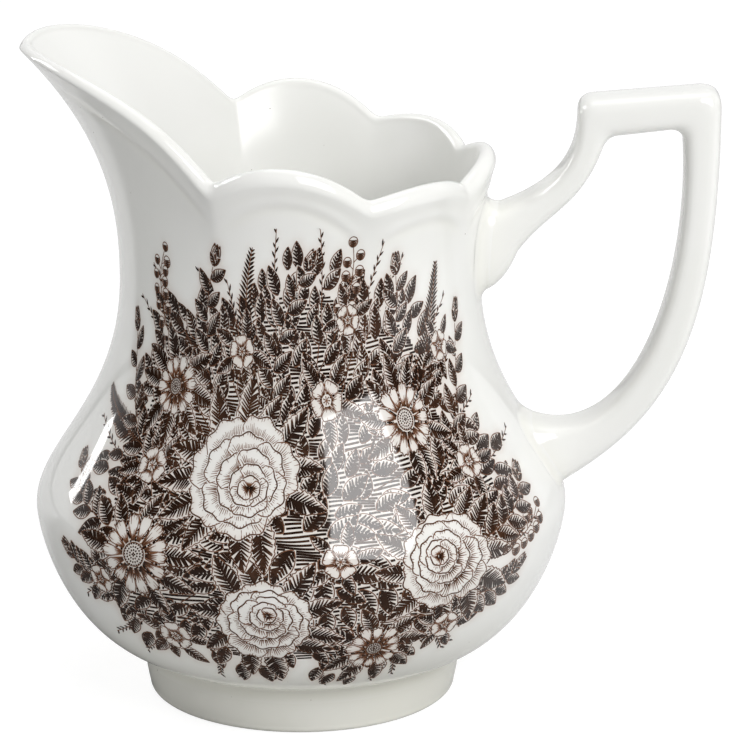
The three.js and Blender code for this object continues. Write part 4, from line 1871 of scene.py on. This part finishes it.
@dataclass
class Posy:
    """The print's drawing: a full posy of garden flowers in a mass of leaves.

    Across, the drawing runs in millimetres from its middle line. Upward, it runs in millimetres
    along the body's outside from its seat.
    """

    seed: int = 11
    middle: tuple[float, float] = (0.0, 44.0)
    reach_side: float = 44.0
    reach_up: float = 46.0
    reach_down: float = 30.5
    roundness: tuple[float, float] = (3.0, 1.9)
    broad_lumps: tuple[float, float, float] = (0.06, 5.0, 1.0)
    small_lumps: tuple[float, float, float] = (0.05, 9.0, 0.0)
    leaf_pitch: float = 3.7
    leaf_row: float = 0.87
    leaf_stray: float = 0.9
    leaf_length: float = 6.0
    leaf_taper: tuple[float, float] = (1.05, 0.8)
    leaf_hatch: float = 0.56
    leaf_edge: float = 0.93
    ground_pitch: float = 0.62
    ground_half: float = 0.2
    ground_share: float = 0.84
    ground_wave: tuple[float, float] = (0.35, 0.35)
    grasses: int = 30
    grass_root: float = 16.0
    grass_reach: tuple[float, float] = (1.1, 0.04)
    grass_lowest: float = 10.5
    stem_steps: int = 34
    stalk_steps: int = 30
    frond_steps: int = 32
    blooms: tuple[Bloom, ...] = (
        Bloom(Flower.ROSE, (-10.5, 53.5), 10.4, -0.9),
        Bloom(Flower.ROSE, (25.5, 37.0), 8.6, 2.6),
        Bloom(Flower.ROSE, (-5.5, 27.5), 8.0, 1.2),
        Bloom(Flower.DAISY, (-28.0, 37.5), 7.0),
        Bloom(Flower.DAISY, (24.0, 62.0), 6.4),
        Bloom(Flower.DAISY, (13.5, 21.0), 5.2),
        Bloom(Flower.DAISY, (-29.5, 67.0), 5.4),
        Bloom(Flower.BLOSSOM, (-30.0, 53.0), 3.3),
        Bloom(Flower.BLOSSOM, (6.5, 66.5), 3.6),
        Bloom(Flower.BLOSSOM, (-22.0, 22.5), 3.2),
        Bloom(Flower.BLOSSOM, (36.5, 52.5), 3.1),
        Bloom(Flower.BLOSSOM, (-36.0, 31.0), 2.7),
        Bloom(Flower.BLOSSOM, (-13.0, 74.5), 3.0),
        Bloom(Flower.BLOSSOM, (26.5, 24.0), 2.8),
        Bloom(Flower.BLOSSOM, (37.0, 73.0), 2.8),
        Bloom(Flower.BLOSSOM, (12.0, 80.0), 2.8),
        Bloom(Flower.BLOSSOM, (7.0, 39.0), 3.0),
    )
    sprays: tuple[Spray, ...] = (
        Spray(Growth.LEAVES, ((-4.0, 60.0), (-8.0, 70.0), (-4.0, 80.0), (2.0, 89.0))),
        Spray(Growth.LEAVES, ((-16.0, 60.0), (-22.0, 70.0), (-24.0, 80.0), (-20.0, 89.0))),
        Spray(Growth.LEAVES, ((14.0, 56.0), (22.0, 68.0), (26.0, 76.0), (24.0, 87.0))),
        Spray(Growth.LEAVES, ((26.0, 50.0), (36.0, 58.0), (42.0, 64.0), (44.0, 76.0))),
        Spray(Growth.LEAVES, ((-26.0, 50.0), (-36.0, 56.0), (-43.0, 62.0), (-46.0, 74.0))),
        Spray(Growth.LEAVES, ((-30.0, 40.0), (-38.0, 42.0), (-44.0, 42.0), (-49.0, 48.0))),
        Spray(Growth.LEAVES, ((28.0, 38.0), (36.0, 40.0), (42.0, 40.0), (47.0, 46.0))),
        Spray(Growth.LEAVES, ((-28.0, 33.0), (-34.0, 31.0), (-39.0, 30.0), (-43.0, 33.0))),
        Spray(Growth.LEAVES, ((24.0, 31.0), (31.0, 29.0), (36.0, 28.0), (40.0, 31.0))),
        Spray(Growth.BERRIES, ((4.0, 70.0), (10.0, 78.0), (14.0, 86.0), (13.0, 92.0))),
        Spray(Growth.BERRIES, ((-30.0, 70.0), (-36.0, 78.0), (-38.0, 84.0), (-35.0, 89.0))),
        Spray(Growth.BERRIES, ((32.0, 37.0), (39.0, 36.0), (44.0, 37.0), (48.0, 40.0))),
        Spray(Growth.FERN, ((-10.0, 64.0), (-13.0, 74.0), (-13.0, 84.0), (-10.0, 93.0))),
        Spray(Growth.FERN, ((28.0, 62.0), (33.0, 72.0), (36.0, 80.0), (36.0, 88.0))),
        Spray(Growth.FERN, ((-34.0, 56.0), (-42.0, 58.0), (-48.0, 60.0), (-53.0, 63.0))),
    )

    def strokes(self) -> list[Stroke]:
        """Returns the finished drawing's lines."""
        pen, plate = Draughtsman(self.seed), Plate()
        for bloom in self.blooms:
            plate.engrave([motif.placed(bloom.spot) for motif in self.flower(pen, bloom)])
        for bloom in self.blooms:
            plate.engrave(self.collar(pen, bloom))
        for spray in self.sprays:
            plate.engrave(self.spray(pen, spray))
        plate.engrave(self.mass(pen))
        for step in range(self.grasses):
            plate.engrave(pen.grass(self.blade(pen, math.tau * step / self.grasses)))
        plate.engrave(self.ground(pen))
        return plate.strokes

    def reach(self, angle: Any) -> Any:
        """Finds how far the mass of leaves runs from the posy's middle.

        Args:
            angle: Directions in radians.

        Returns:
            The distance in each direction.
        """
        across, upward = np.cos(angle), np.sin(angle)
        tall = np.where(upward > 0.0, self.reach_up, self.reach_down)
        power = np.where(upward > 0.0, *self.roundness)
        spread = (np.abs(across) / self.reach_side) ** power + (np.abs(upward) / tall) ** power
        waves = 0.0
        for size, count, start in (self.broad_lumps, self.small_lumps):
            waves = waves + size * np.sin(count * angle + start)
        return spread ** (-1.0 / power) * (1.0 + waves)

    @staticmethod
    def flower(pen: Draughtsman, bloom: Bloom) -> list[Motif]:
        """Returns a flower of the bloom's kind about the origin, the nearest first."""
        if bloom.kind is Flower.ROSE:
            return pen.rose(bloom.radius, bloom.lean)
        return pen.daisy(bloom.radius) if bloom.kind is Flower.DAISY else pen.blossom(bloom.radius)

    @staticmethod
    def collar(pen: Draughtsman, bloom: Bloom) -> list[Motif]:
        """Draws a ring of toothed leaves behind a flower.

        Args:
            pen: The draughtsman.
            bloom: The flower.

        Returns:
            The leaves.
        """
        if bloom.kind is Flower.BLOSSOM:
            count, length = 5, 1.6 * bloom.radius
        else:
            count, length = round(4.5 + 0.7 * bloom.radius), 4.2 + 0.46 * bloom.radius
        tucked, teeth = 0.72, 9
        motifs = []
        for angle in pen.turns(count, pen.vary(math.pi, math.pi), 0.15):
            root = np.array(bloom.spot) + polar(bloom.radius * tucked, angle)
            size = length * pen.vary(1.0, 0.15)
            leaf = pen.leaf(size, 0.48 * size, pen.vary(0.0, 0.18), teeth)
            motifs.append(leaf.placed(root, pen.vary(angle, 0.35)))
        return motifs

    def mass(self, pen: Draughtsman) -> list[Motif]:
        """Draws the mass of leaves behind the flowers.

        Args:
            pen: The draughtsman.

        Returns:
            The leaves, the nearest to the middle first.
        """
        places = []
        wide, tall = self.reach_side * 1.2, max(self.reach_up, self.reach_down) * 1.2
        for row, upward in enumerate(np.arange(-tall, tall, self.leaf_row * self.leaf_pitch)):
            for across in np.arange(-wide, wide, self.leaf_pitch):
                across = pen.vary(across + (row % 2) * 0.5 * self.leaf_pitch, self.leaf_stray)
                places.append((across, pen.vary(upward, self.leaf_stray)))
        motifs = []
        for across, upward in sorted(places, key=lambda place: math.hypot(*place)):
            angle = math.atan2(upward, across)
            inside = math.hypot(across, upward) / float(self.reach(angle))
            if inside > self.leaf_edge:
                continue
            length = pen.vary(self.leaf_length * mix(*self.leaf_taper, inside), 0.8)
            heavy = pen.vary(1.08, 0.16)
            leaf = pen.leaf(length, 0.5 * length, pen.vary(0.0, 0.2), 0, self.leaf_hatch, heavy)
            spot = np.array(self.middle) + np.array([across, upward])
            motifs.append(leaf.placed(spot, pen.vary(angle, 0.75)))
        return motifs

    def ground(self, pen: Draughtsman) -> list[Motif]:
        """Draws the lines of shade that show between the leaves.

        Args:
            pen: The draughtsman.

        Returns:
            The lines, from the lowest up.
        """
        angle = np.linspace(0.0, math.tau, 241)
        outline = polar(self.reach(angle), angle)
        motifs = []
        (left, low), (right, high) = outline.min(axis=0), outline.max(axis=0)
        (wave, waves), fewest = self.ground_wave, 8
        for upward in np.arange(low + 1.0, high, self.ground_pitch):
            across = np.arange(left, right, 0.5)
            row = np.column_stack([across, np.full_like(across, upward)])
            row = row[Plate.inside(row, outline * self.ground_share)]
            if len(row) < fewest:
                continue
            row[:, 1] += wave * np.sin(row[:, 0] * waves + upward)
            half = pen.vary(self.ground_half, 0.02)
            motifs.append(Motif((Stroke.drawn(row + np.array(self.middle), half, half),)))
        return motifs

    def spray(self, pen: Draughtsman, spray: Spray) -> list[Motif]:
        """Draws a spray of its kind along its stem.

        Args:
            pen: The draughtsman.
            spray: The spray.

        Returns:
            Its forms, the nearest first.
        """
        if spray.kind is Growth.LEAVES:
            return pen.leafy(bezier(spray.stem, self.stem_steps))
        if spray.kind is Growth.BERRIES:
            return pen.berries(bezier(spray.stem, self.stalk_steps))
        return pen.fern(bezier(spray.stem, self.frond_steps))

    def blade(self, pen: Draughtsman, angle: float) -> Array:
        """Draws the stem of a grass that grows out of the posy's middle.

        Args:
            pen: The draughtsman.
            angle: The direction in which it grows, in radians.

        Returns:
            The stem's points.
        """
        angle = pen.vary(angle, 0.08)
        root = np.array(self.middle) + polar(self.grass_root, angle)
        end = pen.vary(angle, 0.05)
        tip = np.array(self.middle) + polar(self.reach(end) * pen.vary(*self.grass_reach), end)
        tip[1] = max(tip[1], self.grass_lowest)
        bow = mix(root, tip, 0.5) + polar(pen.vary(0.0, 5.0), angle + math.pi / 2.0)
        return bezier([root, bow, tip], 40)


@dataclass
class Transfer:
    """The drawing as it is printed on the body's two sides, in thin closed strokes of ink."""

    body: Body
    strokes: list[Stroke]
    chart_radius: float = 44.0
    top: float = 92.0
    proud: float = 0.035
    sunk: float = 0.05
    full_half: float = 0.2
    grid: float = 1.0
    border: float = 60.0
    bleed: float = 1.2
    climb_steps: int = 600

    def climb(self, side: Side) -> tuple[Array, Array]:
        """Measures the way up the body's outside from its seat.

        Args:
            side: The side that is printed.

        Returns:
            Heights up the body, and how far along the outside each one is.
        """
        height = np.linspace(self.body.seat_height, self.top, self.climb_steps)
        radius = self.body.outside(np.full_like(height, math.radians(side.value)), height)
        return height, run_lengths(np.column_stack([radius, height]))

    def stain(self, turn: Array, height: Array, side: Side) -> Array:
        """Finds how much ink lies near points of the outside, where it has bled into the glaze.

        Args:
            turn: Angles from the handle in radians.
            height: Heights above the table.
            side: The side that is printed.

        Returns:
            The share of ink round each point, from 0 to 1.
        """
        cells = round(2.0 * self.border / self.grid)
        ink = np.zeros((cells, cells))
        for line in self.strokes:
            spots = np.floor((line.points + np.array([self.border, 0.0])) / self.grid).astype(int)
            area = 2.0 * line.half * np.gradient(line.lengths())
            np.add.at(ink, (spots[:, 0], np.maximum(spots[:, 1], 0)), area / self.grid ** 2)
        kernel = bell(np.arange(-2.0, 3.0), self.bleed)
        for axis in (0, 1):
            ink = np.apply_along_axis(np.convolve, axis, ink, kernel / kernel.sum(), "same")
        levels, along = self.climb(side)
        swing = (turn - math.radians(side.value) + math.pi) % (math.tau) - math.pi
        across = (swing * self.chart_radius + self.border) / self.grid - 0.5
        upward = np.interp(height, levels, along) / self.grid - 0.5
        last = cells - 1.01
        across, upward = np.clip(across, 0.0, last), np.clip(upward, 0.0, last)
        column, row = across.astype(int), upward.astype(int)
        low = mix(ink[column, row], ink[column + 1, row], across - column)
        high = mix(ink[column, row + 1], ink[column + 1, row + 1], across - column)
        shown = (height < self.top) & (np.abs(swing) < math.pi / 2.0)
        return np.where(shown, mix(low, high, upward - row), 0.0)

    def chart(self, spots: Array, side: Side) -> tuple[Array, Array]:
        """Finds where points of the flat drawing lie on the body.

        Args:
            spots: The points on the drawing, one a row.
            side: The side that is printed.

        Returns:
            The angle from the handle in radians and the height of each point.
        """
        height, along = self.climb(side)
        turn = math.radians(side.value) + spots[:, 0] / self.chart_radius
        return turn, np.interp(spots[:, 1], along, height)

    def build(self, name: str, side: Side) -> Object:
        """Makes one side's print: each line is a wedge with its keel in the glaze.

        Args:
            name: The piece's name.
            side: The side that is printed.

        Returns:
            The new object.
        """
        lefts, keels, rights, faces = [], [], [], []
        total = sum(len(line.points) for line in self.strokes)
        rows = (0, total, 2 * total)
        start = 0
        for line in self.strokes:
            aside = beside(line.points) * line.half[:, None]
            lefts.append(line.points + aside)
            keels.append(line.points)
            rights.append(line.points - aside)
            last = start + len(line.points) - 1
            faces.append(tuple(row + start for row in rows))
            faces.append(tuple(row + last for row in reversed(rows)))
            for here in range(start, last):
                for first, second in zip(rows, (*rows[1:], rows[0])):
                    faces.append((first + here, first + here + 1, second + here + 1, second + here))
            start = last + 1
        turn, height = self.chart(np.vstack(lefts + keels + rights), side)
        facing = self.body.facing(turn, height)
        lift = np.repeat([self.proud, -self.sunk, self.proud], total)[:, None]
        points = self.body.surface(turn, height) + facing * lift
        load = np.concatenate([line.half for line in self.strokes]) / self.full_half
        return MeshMaker.piece(name, points, faces, {Layer.LOAD: np.tile(load, 3)}, facing=facing)


@dataclass(frozen=True)
class Softbox:
    """A softbox, by its direction from the creamer and its roll in degrees, its distance and size
    in metres and its power in watts.
    """

    name: str
    azimuth: float
    elevation: float
    roll: float
    distance: float
    size: tuple[float, float]
    power: float


@dataclass
class Studio:
    """The camera, the lamps, the world and the floor.

    Azimuths run in degrees from +X towards +Y. The camera's distance and the size of its pixels
    at the target are in millimetres, and the lamps' aim and the floor's half side are in metres.
    """

    target: tuple[float, float, float] = (13.04, 0.0, 56.91)
    elevation: float = 16.57
    azimuth: float = -88.7
    distance: float = 733.0
    pixel: float = 0.1756
    picture: int = 750
    sensor: float = 36.0
    nearest: float = 0.01
    world_level: float = 0.05
    world_front: float = 0.44
    world_back: float = 0.47
    world_hush: float = 0.85
    backdrop_level: float = 0.9
    backdrop_edge: tuple[float, float] = (0.1, 0.6)
    floor_half: float = 4.0
    lamp_aim: tuple[float, float, float] = (AXIS_X * MM, 0.0, 0.055)
    lamps: tuple[Softbox, ...] = (
        Softbox("key", -52.3, 36.5, -24.0, 1.1, (0.66, 0.74), 9.4),
        Softbox("strip", 149.7, 26.0, 0.0, 1.1, (0.10, 0.70), 2.2),
        Softbox("overhead", 70.0, 80.0, 0.0, 1.2, (0.9, 0.9), 3.8),
        Softbox("side", 163.7, 41.0, 0.0, 1.1, (0.34, 0.30), 1.7),
    )

    @staticmethod
    def point(
        name: str,
        data: ID,
        aim: Sequence[float],
        angles: tuple[float, float],
        distance: float,
        roll: float = 0.0,
    ) -> Object:
        """Places the camera or a lamp and turns it towards a point.

        Args:
            name: The new object's name.
            data: The camera or the lamp.
            aim: The point that it is turned towards, in metres.
            angles: The azimuth and elevation of its place as seen from there, in degrees.
            distance: How far away it is, in metres.
            roll: How far it is rolled, in degrees.

        Returns:
            The new object.
        """
        turn, rise = (math.radians(angle) for angle in angles)
        level = math.cos(rise)
        away = Vector((math.cos(turn) * level, math.sin(turn) * level, math.sin(rise)))
        made = bpy.data.objects.new(name, data)
        made.location = Vector(aim) + away * distance
        rolled = Quaternion((0.0, 0.0, 1.0), math.radians(roll))
        made.rotation_euler = (away.to_track_quat("Z", "Y") @ rolled).to_euler()
        bpy.context.scene.collection.objects.link(made)
        return made

    def build_camera(self) -> None:
        """Makes the camera at the picture's viewing angle."""
        lens = bpy.data.cameras.new("camera")
        lens.sensor_width = self.sensor
        lens.lens = self.distance / self.pixel * self.sensor / self.picture
        lens.clip_start = self.nearest
        target = MeshMaker.metres(np.array(self.target)).tolist()
        angles = (self.azimuth, self.elevation)
        bpy.context.scene.camera = self.point("camera", lens, target, angles, self.distance * MM)

    def build_lamps(self) -> None:
        """Adds the lamps, each turned towards the creamer."""
        for box in self.lamps:
            lamp = bpy.data.lights.new(box.name, "AREA")
            lamp.shape = "RECTANGLE"
            lamp.size, lamp.size_y = box.size
            lamp.energy = box.power
            angles = (box.azimuth, box.elevation)
            self.point(box.name, lamp, self.lamp_aim, angles, box.distance, box.roll)

    def build_world(self) -> None:
        """Makes a dim world, brighter to the front and back, that the glaze mirrors as dark in front
        and white behind, and that is white to the camera.
        """
        world = bpy.data.worlds.new("studio")
        world.use_nodes = True
        shade = Shade(world.node_tree)
        camera, gloss = shade.rays()
        _, backward, _ = shade.parts(shade.node("ShaderNodeTexCoord").outputs["Generated"])
        behind = backward.between(*self.backdrop_edge) * gloss
        front = (0.0 - backward) | 0.0
        level = front * self.world_front + (backward | 0.0) * self.world_back + self.world_level
        level = level * (1.0 - gloss * self.world_hush)
        strength = camera | behind * self.backdrop_level | level
        white = colour(1.0, 1.0, 1.0)
        light = shade.shader("ShaderNodeBackground", {"Color": white, "Strength": strength})
        shade.node("ShaderNodeOutputWorld", None, {"Surface": light})
        bpy.context.scene.world = world

    def build_floor(self) -> None:
        """Makes the floor."""
        mesh = bpy.data.meshes.new("floor")
        sides = ((-1.0, -1.0), (1.0, -1.0), (1.0, 1.0), (-1.0, 1.0))
        corners = [(x * self.floor_half, y * self.floor_half, 0.0) for x, y in sides]
        mesh.from_pydata(corners, [], [(0, 1, 2, 3)])
        mesh.materials.append(FloorFinish().material())
        made = bpy.data.objects.new("floor", mesh)
        bpy.context.scene.collection.objects.link(made)


class Creamer:
    """The whole creamer: makes each piece, dresses it and ties it to the frame."""

    def __init__(self) -> None:
        """Sets out the parts and mixes the finishes."""
        self.body = Body()
        self.foot = Foot(self.body)
        self.handle = Handle(self.body)
        self.glaze = Glaze("clear_glaze").material()
        self.foot_glaze = Glaze(
            "foot_glaze",
            thin=colour(0.84, 0.835, 0.785),
            clouded=colour(0.82, 0.815, 0.755),
            sheen=0.07,
        ).material()
        self.slip_glaze = Glaze("slip_glaze").material()
        self.ink = PrintInk("print_ink").material()

    def fit(self, piece: Object, material: Material, slot: Slot, *nodes: str) -> None:
        """Dresses a piece and ties it to the frame.

        Args:
            piece: The piece.
            material: Its finish.
            slot: The record's slot that the finish stands for, which is only written to the log.
            nodes: The frame's nodes that the piece replaces.
        """
        piece.data.materials.clear()
        piece.data.materials.append(material)
        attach(piece, ROOT_BODY)
        if nodes:
            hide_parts(*nodes)
        LOG.info("%s: %d points, %s", piece.name, len(piece.data.vertices), slot.value)

    def build(self) -> None:
        """Makes every piece in order."""
        transfer = Transfer(self.body, Posy().strokes())
        self.fit(self.body.build(transfer), self.glaze, Slot.GLAZE, "body")
        self.fit(self.foot.build_ring(), self.foot_glaze, Slot.FOOT_GLAZE, "foot_ring")
        self.fit(self.foot.build_seam(), self.foot_glaze, Slot.SLIP_GLAZE, "foot_slip")
        self.fit(self.handle.build_strap(), self.glaze, Slot.GLAZE, "handle")
        upper, lower = self.handle.build_joints()
        self.fit(upper, self.slip_glaze, Slot.SLIP_GLAZE, "upper_slip")
        self.fit(lower, self.slip_glaze, Slot.SLIP_GLAZE, "lower_slip")
        self.fit(transfer.build("print_front", Side.FRONT), self.ink, Slot.PRINT)
        self.fit(transfer.build("print_back", Side.BACK), self.ink, Slot.PRINT)


def main() -> None:
    """Builds the studio and the creamer."""
    logging.basicConfig(level=logging.INFO, format="%(message)s")
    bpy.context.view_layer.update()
    bpy.context.scene.view_settings.view_transform = "Standard"
    studio = Studio()
    studio.build_camera()
    studio.build_lamps()
    studio.build_world()
    studio.build_floor()
    Creamer().build()


if __name__ == "__main__":
    main()
